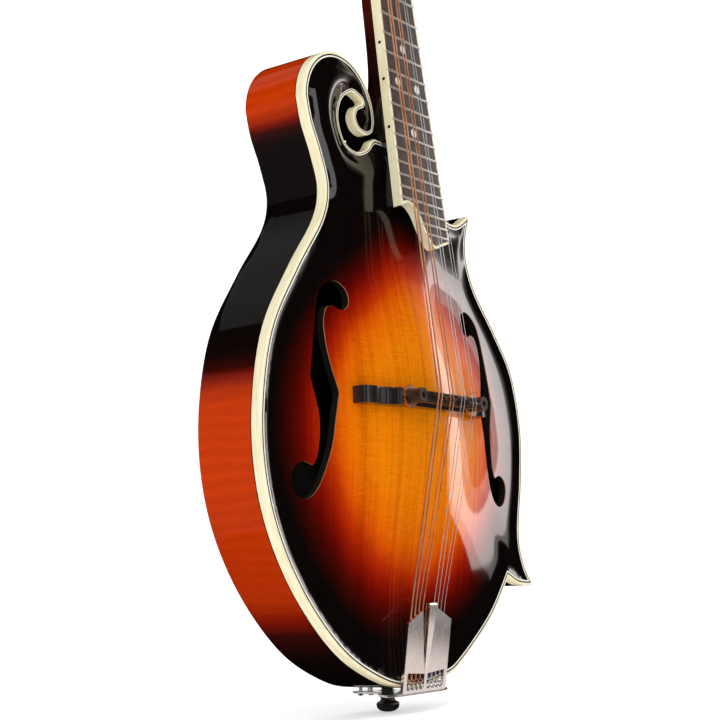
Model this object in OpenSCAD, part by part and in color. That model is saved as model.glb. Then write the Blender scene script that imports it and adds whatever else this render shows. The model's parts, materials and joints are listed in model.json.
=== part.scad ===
// Eight-string mandolin with a carved scroll body, as it comes apart on a bench.
// It stands on its tail: +Z runs up the strings, the carved top faces -Y,
// and the bass side is -X. The origin is the middle of the end pin's head.

/* [Body] */
// Width of the lower bout over the binding
body_w = 252; // [248:1:256]
// Depth of the body at its edge, plates included
body_d = 41; // [39:0.5:43]
// Rise of the carved top above its own edge
top_arch = 16; // [14:0.5:17]
// Rise of the carved back behind its own edge
back_arch = 13; // [10:0.5:14]
// Thickness of the plates at their edge
plate_edge = 5.5; // [5:0.5:6]
// Thickness of the plates where they are hollowed
plate_t = 4.5; // [4:0.25:5]
// Thickness of the bent sides
side_t = 2; // [1.8:0.1:2.4]
// Width of the binding let into the top's edge
binding_t = 2.2; // [1.8:0.1:2.5]

/* [Neck] */
// String length from the nut to the middle of the saddle
scale_len = 352.4; // [350:0.2:355]
// Number of frets on the treble side
fret_count = 23; // [23]
// Backward pitch of the neck against the body, in degrees
neck_pitch = 6; // [5.5:0.1:6.2]
// Height of the fingerboard above the body's edge plane at the body joint
board_rise = 12.3; // [12:0.1:13]
// Width of the neck at the nut
nut_w = 28.4; // [27.5:0.1:29.5]
// Thickness of the fingerboard
board_t = 5.5; // [5:0.1:6]

/* [Headstock and tuners] */
// Backward tilt of the headstock against the neck, in degrees
head_tilt = 13; // [11:0.5:14]
// Thickness of the headstock, front veneer included
head_t = 14; // [13.5:0.25:14.5]
// Distance between neighbouring tuning posts
post_pitch = 23; // [22.5:0.25:23.5]
// Radius of a tuning post
post_r = 3; // [3]
// Number of teeth on each tuner's gear
gear_teeth = 14; // [14]

/* [Bridge and tailpiece] */
// Height of the strings over the fingerboard plane at the saddle
string_rise = 5.1; // [4.8:0.1:5.6]
// Distance between neighbouring string pairs at the saddle
course_gap = 11.6; // [11:0.1:12]
// Distance between the two strings of a pair at the saddle
pair_gap = 3.2; // [2.8:0.1:3.4]
// Width of the tailpiece
tail_w = 41; // [40:0.5:42]

/* [Hidden] */
$fn = 48;

// ---------------------------------------------------------------- frames
// The body is drawn lying down: u across to the treble side, v up towards the
// headstock from the body joint, w out of the top from the top's edge plane.
tail_v = -300.5;
pin_drop = 8.5;
pin_w = -20;
function body_x(p) = [p[0] * body_w / 252, p[1]];

module in_body() {
    translate([0, pin_w, pin_drop - tail_v]) rotate([90, 0, 0]) children();
}

// Neck frame: y up the neck from the joint, z out of the fingerboard's face.
module in_neck() {
    in_body() rotate([-neck_pitch, 0, 0]) translate([0, 0, board_rise]) children();
}
bridge_y = scale_len * pow(2, -15 / 12);
nut_y = scale_len - bridge_y;
nut_t = 4.2;
head_drop = 5.5;

// Headstock frame: y from behind the nut, z out of the veneer's face.
module in_head() {
    in_neck() translate([0, nut_y + nut_t, -head_drop]) rotate([-head_tilt, 0, 0]) children();
}

function body_to_neck(p) = [p[0],
    p[1] * cos(neck_pitch) - p[2] * sin(neck_pitch),
    p[1] * sin(neck_pitch) + p[2] * cos(neck_pitch) - board_rise];
function neck_to_body(p) = [p[0],
    p[1] * cos(neck_pitch) + (p[2] + board_rise) * sin(neck_pitch),
    -p[1] * sin(neck_pitch) + (p[2] + board_rise) * cos(neck_pitch)];
function head_to_neck(p) = [p[0],
    nut_y + nut_t + p[1] * cos(head_tilt) + p[2] * sin(head_tilt),
    -head_drop - p[1] * sin(head_tilt) + p[2] * cos(head_tilt)];

// ---------------------------------------------------------------- curves
function spline_at(a, b, c, d, t) = 0.5 * (2 * b + (c - a) * t
    + (2 * a - 5 * b + 4 * c - d) * t * t + (3 * b - a - 3 * c + d) * t * t * t);
// Smooth open curve through the points, without its last point
function open_curve(p, n) = [for (i = [0 : len(p) - 2]) for (k = [0 : n - 1])
    spline_at(p[max(i - 1, 0)], p[i], p[i + 1], p[min(i + 2, len(p) - 1)], k / n)];
// Smooth closed curve through the points
function closed_curve(p, n) = [for (i = [0 : len(p) - 1]) for (k = [0 : n - 1])
    spline_at(p[(i + len(p) - 1) % len(p)], p[i], p[(i + 1) % len(p)],
        p[(i + 2) % len(p)], k / n)];
function arc(c, r, a0, a1, n) = [for (k = [0 : n])
    [c[0] + r * cos(a0 + (a1 - a0) * k / n), c[1] + r * sin(a0 + (a1 - a0) * k / n)]];

// Bass side of the body, from the tail up to the foot of the scroll
bass_side = [[0, -300.5], [-28, -296], [-63, -280], [-93, -253], [-114, -222],
    [-124.5, -190], [-125.5, -155], [-116.5, -117], [-95, -83], [-74, -55],
    [-68.5, -37], [-73.5, -20], [-81, -4], [-84.5, 9.5]];
scroll_c = [-53, 9.5];
scroll_r = 31.5;
// The scroll runs over its top, down beside the neck and curls into its eye
scroll_curl = [[-21.5, 9.5], [-24, 3], [-30.5, 0.3], [-37.5, 2.2], [-41, 8], [-38.6, 14],
    [-33.2, 17]];
scroll_slot = [[-33.2, 17], [-32, 18.4], [-34.2, 20.4], [-42, 21.8], [-51.3, 15.2],
    [-54.8, 4], [-50, -7.8], [-39.5, -11.3], [-29.5, -7.5], [-25, -2]];
neck_mouth = [[-25, -2], [-22, 0], [21, 0]];
upper_point = [[21, 0], [26, -16], [42, -31], [58, -34.5], [73, -26.5]];
upper_tip = [[73, -26.5], [75, -28.5]];
treble_side = [[75, -28.5], [70.5, -42], [70.5, -56], [79, -73], [99, -95], [117, -119],
    [125, -152], [123, -184], [117, -217], [121, -235], [129, -246]];
lower_point = [[129, -246], [128, -248.5], [113, -247.5], [101, -243]];
treble_tail = [[101, -243], [79, -266.5], [45, -289.5], [28, -296], [0, -300.5]];
body_pts = concat(open_curve(bass_side, 4), arc(scroll_c, scroll_r, 180, 10, 22),
    open_curve(scroll_curl, 4), open_curve(scroll_slot, 3), open_curve(neck_mouth, 1),
    open_curve(upper_point, 4), open_curve(upper_tip, 1), open_curve(treble_side, 4),
    open_curve(lower_point, 3), open_curve(treble_tail, 5));
body_outline = [for (p = body_pts) body_x(p)];

// Pear-shaped boundary of the carved arch and of the sound chamber
chamber_pts = [[0, -287], [50, -276], [90, -240], [113, -190], [113, -150], [98, -105],
    [72, -70], [50, -46], [26, -26], [0, -22], [-26, -26], [-50, -46], [-72, -70],
    [-98, -105], [-113, -150], [-113, -190], [-90, -240], [-50, -276]];
chamber = [for (p = closed_curve(chamber_pts, 2)) body_x(p)];
arch_c = [0, -150];

module body_slab(w0, w1, inset = 0) {
    translate([0, 0, w0]) linear_extrude(w1 - w0)
        offset(delta = -inset) polygon(body_outline);
}

// Carved arch: a smooth bell over the pear-shaped boundary
arch_rings = 7;
function bell(t) = (1 + cos(180 * min(t, 1))) / 2;
function arch_at(u, v) = top_arch * bell(sqrt(pow(u / (113 * body_w / 252), 2)
    + pow((v - arch_c[1]) / 133, 2)));
module arch(rise, base, grow = 1) {
    n = len(chamber);
    rings = [for (k = [arch_rings : -1 : 1]) for (p = chamber)
        [arch_c[0] + (p[0] - arch_c[0]) * grow * k / arch_rings,
         arch_c[1] + (p[1] - arch_c[1]) * grow * k / arch_rings,
         rise * bell(k / arch_rings)]];
    floor_pts = [for (p = chamber) [arch_c[0] + (p[0] - arch_c[0]) * grow,
        arch_c[1] + (p[1] - arch_c[1]) * grow, -base]];
    top = [arch_c[0], arch_c[1], rise];
    pts = concat(rings, floor_pts, [top]);
    last = len(pts) - 1;
    first_floor = n * arch_rings;
    polyhedron(pts, concat(
        [for (k = [0 : arch_rings - 2]) for (j = [0 : n - 1])
            [k * n + j, (k + 1) * n + j, (k + 1) * n + (j + 1) % n, k * n + (j + 1) % n]],
        [for (j = [0 : n - 1]) [(arch_rings - 1) * n + j, last, (arch_rings - 1) * n + (j + 1) % n]],
        [for (j = [0 : n - 1]) [j, (j + 1) % n, first_floor + (j + 1) % n, first_floor + j]],
        [[for (j = [0 : n - 1]) first_floor + j]]), convexity = 4);
}

// Bass sound hole, from its outer nick down round the lower lobe, up the inner
// edge by its nick, and round the upper lobe
hole_outer = [[-88, -139.5], [-83, -160], [-84.5, -178], [-88, -184.5]];
hole_lower = [[-88, -184.5], [-95, -182.8], [-101.8, -186.5], [-103, -193.5], [-98.5, -200.2],
    [-90.5, -200.8], [-82.5, -193.5], [-75, -176], [-71.5, -159], [-68.5, -146.5]];
hole_inner = [[-68.5, -146.5], [-74, -128], [-75.5, -112], [-72.5, -102.5], [-67.5, -100.5]];
hole_upper = [[-67.5, -100.5], [-60.5, -102.5], [-55, -97.5], [-57, -90], [-66, -87],
    [-77.5, -95], [-83.5, -117], [-88, -139.5]];
sound_hole = concat(open_curve(hole_outer, 3), open_curve(hole_lower, 3),
    open_curve(hole_inner, 3), open_curve(hole_upper, 3));
module sound_holes(w0, w1) {
    for (side = [0, 1]) mirror([side, 0, 0]) translate([0, 0, w0])
        linear_extrude(w1 - w0) polygon([for (p = sound_hole) body_x(p)]);
}

// Thin tube through points that run mainly along Y
tube_sides = 8;
module tube(path, r) {
    n = tube_sides;
    m = len(path);
    pts = [for (p = path) for (k = [0 : n - 1]) p + r * [cos(360 * k / n), 0, sin(360 * k / n)]];
    polyhedron(pts, concat([[for (k = [n - 1 : -1 : 0]) k]],
        [for (i = [0 : m - 2]) for (k = [0 : n - 1]) [i * n + k, i * n + (k + 1) % n,
            (i + 1) * n + (k + 1) % n, (i + 1) * n + k]],
        [[for (k = [0 : n - 1]) (m - 1) * n + k]]), convexity = 2);
}

// ---------------------------------------------------------------- body
module top_plate() {
    color([0.80, 0.42, 0.08]) in_body() difference() {
        union() {
            body_slab(-plate_edge, 0, binding_t);
            arch(top_arch, 1);
        }
        translate([0, 0, -plate_t]) arch(top_arch, 2, 0.93);
        sound_holes(-plate_edge - 1, top_arch);
    }
}

module back_plate() {
    color([0.45, 0.16, 0.05]) in_body() translate([0, 0, -body_d]) mirror([0, 0, 1])
        difference() {
            union() {
                body_slab(-plate_t, 0);
                arch(back_arch, 1);
            }
            translate([0, 0, -plate_t + 0.5]) arch(back_arch, 2, 0.93);
        }
}

back_w = -body_d + plate_t;
module rim() {
    color([0.62, 0.24, 0.05]) in_body() difference() {
        body_slab(back_w, -plate_edge);
        body_slab(back_w - 1, -plate_edge + 1, side_t);
        translate([-19, -side_t - 2, back_w - 1]) cube([38, 10, body_d]);
        tail_bores();
    }
}

// Ground covered by the block under the neck and scroll, and by the two point blocks
module head_region() {
    polygon([[-100, -46], [-38, -30], [0, -27], [24, -27], [24, 60], [-100, 60]]);
}
module point_regions() {
    polygon([[24.5, -27], [50, -48], [95, -60], [95, 0], [24.5, 0]]);
    polygon([[104, -212], [96, -244], [150, -262], [150, -206]]);
}
lining_h = 6;
lining_t = 5;
module linings() {
    color([0.85, 0.70, 0.45]) in_body() for (w = [back_w, -plate_edge - lining_h])
        translate([0, 0, w]) linear_extrude(lining_h) difference() {
            offset(delta = -side_t) polygon(body_outline);
            offset(delta = -side_t - lining_t) polygon(body_outline);
            offset(delta = 0.1) {
                head_region();
                point_regions();
            }
            translate([-30, tail_v - 5]) square([60, 30]);
        }
}

// Neck and scroll block, with the dovetail socket for the neck's heel
tenon_l = 18;
module tenon(grow, h) {
    linear_extrude(h) polygon([[-9 - grow, 1], [-12 - grow, -tenon_l - grow],
        [12 + grow, -tenon_l - grow], [9 + grow, 1]]);
}
module head_block() {
    color([0.75, 0.55, 0.33]) in_body() difference() {
        translate([0, 0, back_w]) linear_extrude(-plate_edge - back_w) intersection() {
            offset(delta = -side_t) polygon(body_outline);
            head_region();
        }
        translate([0, 0, back_w + 4]) tenon(0.05, body_d);
    }
}

module tail_block() {
    color([0.75, 0.55, 0.33]) in_body() difference() {
        translate([-30, tail_v + 0.5, back_w]) cube([60, 20, -plate_edge - back_w]);
        difference() {
            translate([-60, tail_v - 20, back_w - 1]) cube([120, 60, body_d]);
            body_slab(back_w - 2, 2, side_t);
        }
        tail_bores();
    }
}

module point_blocks() {
    color([0.75, 0.55, 0.33]) in_body() translate([0, 0, back_w])
        linear_extrude(-plate_edge - back_w) intersection() {
            offset(delta = -side_t) polygon(body_outline);
            point_regions();
        }
}

// Two braces under the top, running beside the sound holes
module tone_bars() {
    color([0.90, 0.78, 0.55]) in_body() intersection() {
        for (side = [-1, 1]) translate([side * 34, arch_c[1], 0]) rotate([0, 0, side * 7])
            translate([-3, -80, -6]) cube([6, 150, top_arch]);
        difference() {
            translate([0, 0, -plate_t - 0.02]) arch(top_arch, 2, 0.93);
            translate([0, 0, -plate_t - 10]) arch(top_arch, 2, 0.93);
        }
    }
}

module top_binding() {
    color([0.93, 0.88, 0.70]) in_body() difference() {
        body_slab(-plate_edge, 0);
        body_slab(-plate_edge - 1, 1, binding_t);
        translate([-19, -binding_t - 1, -plate_edge - 1]) cube([38, 10, 10]);
    }
}

// ---------------------------------------------------------------- neck
board_end = 20;
function fret_y(n) = nut_y - scale_len * (1 - pow(2, -n / 12));
board_half_end = 21.7;
function board_half(y) = nut_w / 2 + (board_half_end - nut_w / 2) * (nut_y - y)
    / (nut_y - fret_y(board_end));
bass_end_y = fret_y(20) - 5;
treble_end_y = fret_y(fret_count) - 3.5;
// The board's end sweeps in an S from the bass corner to the longer treble side
board_sweep = [[-22, bass_end_y], [-14, bass_end_y + 2.5], [-7, bass_end_y - 2],
    [-1, bass_end_y - 13], [6, bass_end_y - 20], [14, treble_end_y - 1.5], [22.3, treble_end_y + 1.5]];
board_outline = concat([[nut_w / 2, nut_y], [-nut_w / 2, nut_y]], open_curve(board_sweep, 4),
    [[board_half(treble_end_y), treble_end_y + 1.5]]);

// Half-round shaft, deepening into a narrow heel at the body
function fold(c, e) = sign(c) * pow(abs(c), e);
function shaft_ring(y, w, d, e, k) = [for (a = [0 : 15 : 180])
    [w * fold(cos(a), e), y, -board_t - d * pow(sin(a), k)]];
module loft(rings) {
    n = len(rings[0]);
    m = len(rings);
    pts = [for (r = rings) for (p = r) p];
    polyhedron(pts, concat(
        [for (k = [0 : m - 2]) for (j = [0 : n - 1])
            [k * n + j, (k + 1) * n + j, (k + 1) * n + (j + 1) % n, k * n + (j + 1) % n]],
        [[for (j = [0 : n - 1]) j], [for (j = [n - 1 : -1 : 0]) (m - 1) * n + j]]), convexity = 4);
}
// Each row: distance up the neck, half width, depth, and how square its shoulders are
shaft_rows = [[-4, 17, 46.6, 1.15, 0.6], [5, 17.4, 45, 1.15, 0.6], [13, 18, 36, 1.1, 0.65],
    [22, 18.4, 25, 1, 0.75], [32, 18.3, 18.5, 1, 0.85], [48, 17.8, 15.5, 1, 0.9],
    [80, 17, 14.4, 1, 0.95], [130, 16, 13.6, 1, 0.95], [180, 14.9, 13, 1, 0.9],
    [nut_y, 14.4, 13.4, 1, 0.8], [nut_y + 8, 14.6, 17, 1, 0.7]];

head_bass = [[-14, -1.5], [-17, 4], [-28, 13], [-33, 24], [-33.5, 42], [-31.5, 70], [-33, 98],
    [-38, 116], [-35, 130], [-25, 134.5]];
head_crown = [[-25, 134.5], [-17, 130], [-11, 131.5], [-5, 145], [4, 160], [18, 169],
    [33, 165], [39.5, 150], [37, 124], [33, 98], [31.5, 70], [33.5, 42], [33, 24], [28, 13],
    [17, 4], [14, -1.5]];
head_outline = concat(open_curve(head_bass, 3), open_curve(head_crown, 3), [[14, -1.5]]);
veneer_t = 1.8;
head_edge = 1.6;

post_x = 17.5;
post_y0 = 30;
function tuner_side(k) = k <= 4 ? -1 : 1;
function tuner_y(k) = post_y0 + post_pitch * ((k - 1) % 4);
module at_post(k) {
    in_head() translate([tuner_side(k) * post_x, tuner_y(k), 0]) children();
}
bushing_r = 4.2;
rod_z = -board_t - 6.5;
channel_y0 = 1.5;
pocket_l = 18;

// Raised rest under the overhanging end of the board
module board_rest() {
    low = (board_rise - board_t) * cos(neck_pitch);
    rest_l = 38;
    translate([-15, 0, 0]) rotate([90, 0, 90]) linear_extrude(30)
        polygon([[0.5, 0.05], [0.5, low - 0.06],
            [-rest_l, low + (rest_l + 0.5) * tan(neck_pitch) - 0.05], [-rest_l, 2.2], [-15, 0.6]]);
}

module neck() {
    color([0.28, 0.10, 0.05]) difference() {
        union() {
            difference() {
                in_neck() loft([for (r = shaft_rows) shaft_ring(r[0], r[1], r[2], r[3], r[4])]);
                in_body() translate([-50, -50, -60]) cube([100, 50, 80]);
            }
            in_head() translate([0, 0, -head_t]) linear_extrude(head_t - veneer_t)
                offset(delta = -head_edge) polygon(head_outline);
            in_body() translate([0, 0, back_w + 4.1]) tenon(0, -plate_edge - back_w - 4.2);
            in_body() board_rest();
        }
        in_head() translate([-30, 0.08, -veneer_t]) cube([60, 30, 20]);
        in_neck() translate([-3, channel_y0, -board_t - 9.5]) cube([6, nut_y - channel_y0 - 3, 9.6]);
        in_neck() translate([0, nut_y - 5, rod_z]) rotate([-90, 0, 0])
            cylinder(r = 5, h = pocket_l + 8);
        for (k = [1 : 8]) at_post(k) translate([0, 0, -head_t - 5]) cylinder(r = bushing_r, h = 24);
        in_head() for (p = cover_holes) translate([p[0], p[1], -screw_l]) cylinder(r = pilot_r, h = screw_l);
        for (side = [-1, 1]) on_side(side) for (y = plate_hole_y)
            translate([plate_hole_x, y, -head_t - 1]) cylinder(r = pilot_r, h = screw_l);
    }
}

// Ebony face of the headstock, open over the truss rod's nut
module headstock_veneer() {
    color([0.07, 0.06, 0.06]) in_head() difference() {
        translate([0, 0, -veneer_t]) linear_extrude(veneer_t)
            offset(delta = -head_edge) polygon(head_outline);
        translate([-4.5, -3, -5]) cube([9, pocket_l, 8]);
        for (k = [1 : 8]) translate([tuner_side(k) * post_x, tuner_y(k), -head_t])
            cylinder(r = bushing_r, h = 24);
        for (p = cover_holes) translate([p[0], p[1], -8]) cylinder(r = pilot_r, h = 12);
    }
}

module headstock_binding() {
    color([0.93, 0.88, 0.70]) in_head() translate([0, 0, -head_t]) linear_extrude(head_t)
        difference() {
            polygon(head_outline);
            offset(delta = -head_edge) polygon(head_outline);
            translate([-15.2, -10]) square([30.4, 15]);
        }
}

// ---------------------------------------------------------------- fingerboard
board_edge = 1.5;
tang_t = 0.5;
tang_d = 1.5;
module board_solid(inset, z0, z1) {
    translate([0, 0, z0]) linear_extrude(z1 - z0) offset(delta = -inset) polygon(board_outline);
}
module fret_rows() {
    for (n = [1 : fret_count]) translate([0, fret_y(n), 0]) children();
}
module fingerboard() {
    color([0.16, 0.12, 0.11]) in_neck() difference() {
        board_solid(board_edge, -board_t, 0);
        fret_rows() translate([-30, -tang_t / 2, -tang_d]) cube([60, tang_t, tang_d + 1]);
        for (d = dot_spots) translate([d[0], d[1], -dot_t]) cylinder(r = dot_r, h = 3);
    }
}
module fingerboard_binding() {
    color([0.93, 0.88, 0.70]) in_neck() difference() {
        board_solid(0, -board_t, 0);
        board_solid(board_edge, -board_t - 1, 1);
        translate([-30, nut_y - board_edge - 0.1, -10]) cube([60, 10, 20]);
        for (n = side_dot_frets) at_side_dot(n) translate([-2, 0, 0]) rotate([0, 90, 0])
            cylinder(r = side_dot_r, h = side_dot_t + 2);
    }
}
crown_r = 1.5;
crown_h = 1;
fret_inset = 0.4;
// Left end of a fret: full width up to the 20th, then cut short by the sweep
function fret_left(n) = n <= board_end ? -board_half(fret_y(n)) + fret_inset
    : [-7.5, -3.5, -0.5][n - board_end - 1];
// Each fret is a crown over the board and a tang in its slot, short of the binding
module frets() {
    color([0.85, 0.82, 0.75]) in_neck() for (n = [1 : fret_count]) {
        x0 = fret_left(n);
        x1 = board_half(fret_y(n)) - fret_inset;
        tang_x0 = x0 + (n <= board_end ? board_edge : 2 * board_edge);
        translate([0, fret_y(n), 0]) {
            intersection() {
                translate([x0, 0, crown_h - crown_r]) rotate([0, 90, 0])
                    cylinder(r = crown_r, h = x1 - x0);
                translate([x0 - 1, -2, 0]) cube([x1 - x0 + 2, 4, 2]);
            }
            translate([tang_x0, -tang_t / 2, -tang_d])
                cube([x1 - board_edge - tang_x0, tang_t, tang_d + 0.2]);
        }
    }
}
dot_r = 2.6;
dot_t = 1.2;
side_dot_r = 1;
side_dot_t = 1;
function between(n) = (fret_y(n) + fret_y(n - 1)) / 2;
dot_spots = [[0, between(3)], [0, between(5)], [0, between(7)], [0, between(10)],
    [-9.5, between(12)], [9.5, between(12)], [0, between(15)]];
side_dot_frets = [3, 5, 7, 10, 12, 15];
// Where a side dot meets the board's bass edge
module at_side_dot(n) {
    translate([-board_half(between(n)), between(n), -board_t / 2]) children();
}
module position_dots() {
    color([0.92, 0.92, 0.88]) in_neck() for (d = dot_spots)
        translate([d[0], d[1], -dot_t]) cylinder(r = dot_r, h = dot_t);
}
module side_dots() {
    color([0.06, 0.06, 0.06]) in_neck() for (n = side_dot_frets) at_side_dot(n)
        rotate([0, 90, 0]) cylinder(r = side_dot_r, h = side_dot_t);
}

nut_string_x = [-11.7, -9.5, -4.6, -2.4, 2.4, 4.6, 9.5, 11.7];
nut_top = 1.6;
module nut() {
    color([0.93, 0.91, 0.82]) in_neck() difference() {
        translate([-nut_w / 2, nut_y, -board_t + 0.05])
            cube([nut_w, nut_t - 0.2, board_t + nut_top + 0.5]);
        for (s = [0 : 7]) translate([nut_string_x[s], nut_y - 1, nut_top + string_r[s]]) {
            slot_r = string_r[s] + 0.1;
            rotate([-90, 0, 0]) cylinder(r = slot_r, h = nut_t + 2);
            translate([-slot_r, 0, 0]) cube([2 * slot_r, nut_t + 2, 3]);
        }
    }
}

rod_r = 2.5;
rod_end_y = nut_y + 7;
module truss_rod() {
    color([0.5, 0.5, 0.52]) in_neck() {
        translate([0, channel_y0 + 3, rod_z]) rotate([-90, 0, 0])
            cylinder(r = rod_r, h = rod_end_y - channel_y0 - 3);
        translate([-2.8, channel_y0 + 0.5, rod_z - 2.9]) cube([5.6, 4, 5.8]);
    }
}
module truss_rod_nut() {
    color([0.78, 0.60, 0.25]) in_neck() translate([0, nut_y + 0.5, rod_z]) rotate([-90, 0, 0])
        difference() {
            union() {
                cylinder(r = 4, h = 3);
                translate([0, 0, 3]) cylinder(r = 4, h = 5, $fn = 6);
            }
            translate([0, 0, -1]) cylinder(r = rod_r + 0.04, h = 14);
        }
}
cover_holes = [[-4.2, 21.2], [4.2, 21.2], [0, 30.5]];
cover_t = 1.4;
screw_r = 0.85;
screw_l = 6;
pilot_r = 0.9;
cover_pts = [[-6.5, 0.3], [-7.4, 8], [-7, 20], [-3.5, 29], [0, 33.5], [3.5, 29], [7, 20],
    [7.4, 8], [6.5, 0.3]];
module truss_rod_cover() {
    color([0.06, 0.06, 0.06]) in_head() difference() {
        translate([0, 0, 0.05]) linear_extrude(cover_t)
            polygon(concat(open_curve(cover_pts, 4), [[6.5, 0.3]]));
        for (p = cover_holes) translate([p[0], p[1], -1]) cylinder(r = 0.95, h = 4);
    }
}
module small_screw(head_r, head_h, shank_r, shank_l) {
    translate([0, 0, -shank_l]) cylinder(r = shank_r, h = shank_l);
    difference() {
        cylinder(r1 = head_r, r2 = head_r * 0.7, h = head_h);
        translate([-head_r, -0.2, head_h * 0.5]) cube([2 * head_r, 0.4, head_h]);
    }
}
module cover_screws() {
    color([0.80, 0.78, 0.72]) in_head() for (p = cover_holes)
        translate([p[0], p[1], cover_t + 0.1]) small_screw(1.9, 0.9, screw_r, screw_l);
}

// ---------------------------------------------------------------- tuners
plate_thick = 1.2;
gear_z = -head_t - plate_thick - 4.2;
gear_h = 2.4;
gear_pr = 4.5;
tooth_pitch = 2 * PI * gear_pr / gear_teeth;
worm_pr = 2.1;
worm_off = gear_pr + worm_pr + 0.05;
worm_core = 1.45;
worm_half = 3.6;
shaft_r = 1.3;
ear_t = 1.6;
plate_x0 = -8.5;
plate_x1 = 14.9;
button_x = 20.5;
plate_y0 = post_y0 - 11;
plate_y1 = post_y0 + 3 * post_pitch + 14;
plate_hole_y = [plate_y0 + 3.5, post_y0 + 1.5 * post_pitch + 3, plate_y1 - 2.4];
plate_hole_x = -5.8;
// Frame of one side's mechanism: +X out of the headstock's side
module on_side(side) {
    in_head() mirror([side < 0 ? 1 : 0, 0, 0]) translate([post_x, 0, 0]) children();
}
module tuner_plate(side) {
    on_side(side) difference() {
        union() {
            translate([plate_x0, plate_y0, -head_t - plate_thick - 0.05])
                cube([plate_x1 - plate_x0, plate_y1 - plate_y0, plate_thick]);
            for (i = [0 : 3]) for (x = [-worm_half - 0.3 - ear_t, worm_half + 0.3])
                translate([x, post_y0 + i * post_pitch + worm_off - 2.6, gear_z - 2.4])
                    cube([ear_t, 5.2, -head_t - plate_thick - gear_z + 2.4]);
        }
        for (i = [0 : 3]) {
            translate([0, post_y0 + i * post_pitch, -head_t - 6]) cylinder(r = post_r + 0.3, h = 8);
            translate([-10, post_y0 + i * post_pitch + worm_off, gear_z + gear_h / 2]) rotate([0, 90, 0])
                cylinder(r = shaft_r + 0.04, h = 30);
        }
        for (y = plate_hole_y) translate([plate_hole_x, y, -head_t - 3]) cylinder(r = 0.95, h = 4);
    }
}
module tuner_plate_bass() {
    color([0.82, 0.80, 0.76]) tuner_plate(-1);
}
module tuner_plate_treble() {
    color([0.82, 0.80, 0.76]) tuner_plate(1);
}
module plate_screws() {
    color([0.80, 0.78, 0.72]) for (side = [-1, 1]) on_side(side) for (y = plate_hole_y)
        translate([plate_hole_x, y, -head_t - plate_thick - 0.1]) mirror([0, 0, 1])
            small_screw(1.9, 1, screw_r, screw_l);
}
module post_bushings() {
    color([0.84, 0.82, 0.78]) for (k = [1 : 8]) at_post(k) difference() {
        union() {
            translate([0, 0, -head_t + 4]) cylinder(r = bushing_r, h = head_t - 4);
            cylinder(r = 5.2, h = 1.1);
        }
        translate([0, 0, -head_t]) cylinder(r = post_r + 0.04, h = 20);
    }
}

// One worm wheel's outline, with a gap between teeth facing the worm
function gear_pts() = [for (i = [0 : gear_teeth - 1]) for (q = [[0.5 - 0.21, 0], [0.5 - 0.12, 1],
    [0.5 + 0.12, 1], [0.5 + 0.21, 0]]) let (a = 90 + 360 * (i + q[0]) / gear_teeth,
    r = gear_pr + (q[1] == 1 ? 0.6 : -0.65)) [r * cos(a), r * sin(a)]];
post_top = 12.5;
hole_z = 8;
wind_z = 4.6;
module post(k) {
    color([0.84, 0.82, 0.78]) at_post(k) difference() {
        union() {
            translate([0, 0, gear_z - 0.1]) cylinder(r = post_r, h = post_top - gear_z);
            translate([0, 0, gear_z]) linear_extrude(gear_h) polygon(gear_pts());
            translate([0, 0, gear_z - 1]) cylinder(r = 2.2, h = 1.2);
        }
        translate([0, 0, post_top - 0.6]) cylinder(r = 1.2, h = 2);
        translate([-5, 0, hole_z]) rotate([0, 90, 0]) cylinder(r = 0.8, h = 10);
        translate([-3, -0.25, gear_z - 2]) cube([6, 0.5, 1.4]);
    }
}

// Helical thread around X, with a crest facing the gear at x = 0
thread_steps = 12;
module thread(len_half, r0, r1, w0, w1, pitch) {
    n = round(2 * len_half / pitch * thread_steps);
    pts = [for (i = [0 : n]) let (s = -len_half + 2 * len_half * i / n, a = 180 + 360 * s / pitch)
        for (q = [[r0, -w0], [r1, -w1], [r1, w1], [r0, w0]]) [s + q[1], q[0] * cos(a), q[0] * sin(a)]];
    polyhedron(pts, concat([[3, 2, 1, 0]],
        [for (i = [0 : n - 1]) for (j = [0 : 3]) [4 * i + j, 4 * i + (j + 1) % 4,
            4 * i + 4 + (j + 1) % 4, 4 * i + 4 + j]],
        [[4 * n, 4 * n + 1, 4 * n + 2, 4 * n + 3]]), convexity = 6);
}
module at_worm(k) {
    on_side(tuner_side(k)) translate([0, tuner_y(k) + worm_off, gear_z + gear_h / 2]) children();
}
module worm(k) {
    color([0.84, 0.82, 0.78]) at_worm(k) {
        translate([-worm_half, 0, 0]) rotate([0, 90, 0]) cylinder(r = worm_core, h = 2 * worm_half);
        thread(worm_half - 1, 1.3, worm_pr + 0.5, 0.5, 0.2, tooth_pitch);
        translate([-worm_half - ear_t - 0.6, 0, 0]) rotate([0, 90, 0])
            cylinder(r = shaft_r, h = 2 * worm_half + ear_t + 0.6 + button_x - worm_half + 4);
        translate([worm_half + ear_t + 0.5, 0, 0]) rotate([0, 90, 0]) cylinder(r = 2, h = 2.4);
    }
}
// Flattened pearl button with a collar, bored for its shaft
module button(k) {
    color([0.93, 0.93, 0.88]) at_worm(k) translate([button_x, 0, 0]) difference() {
        union() {
            rotate([0, 90, 0]) cylinder(r = 2.6, h = 3);
            intersection() {
                translate([9.5, 0, 0]) rotate([90, 0, 0]) cylinder(r = 8, h = 20, center = true);
                translate([2.5, -3.2, -8]) cube([15, 6.4, 16]);
            }
        }
        translate([-1, 0, 0]) rotate([0, 90, 0]) cylinder(r = shaft_r, h = 5);
    }
}

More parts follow.
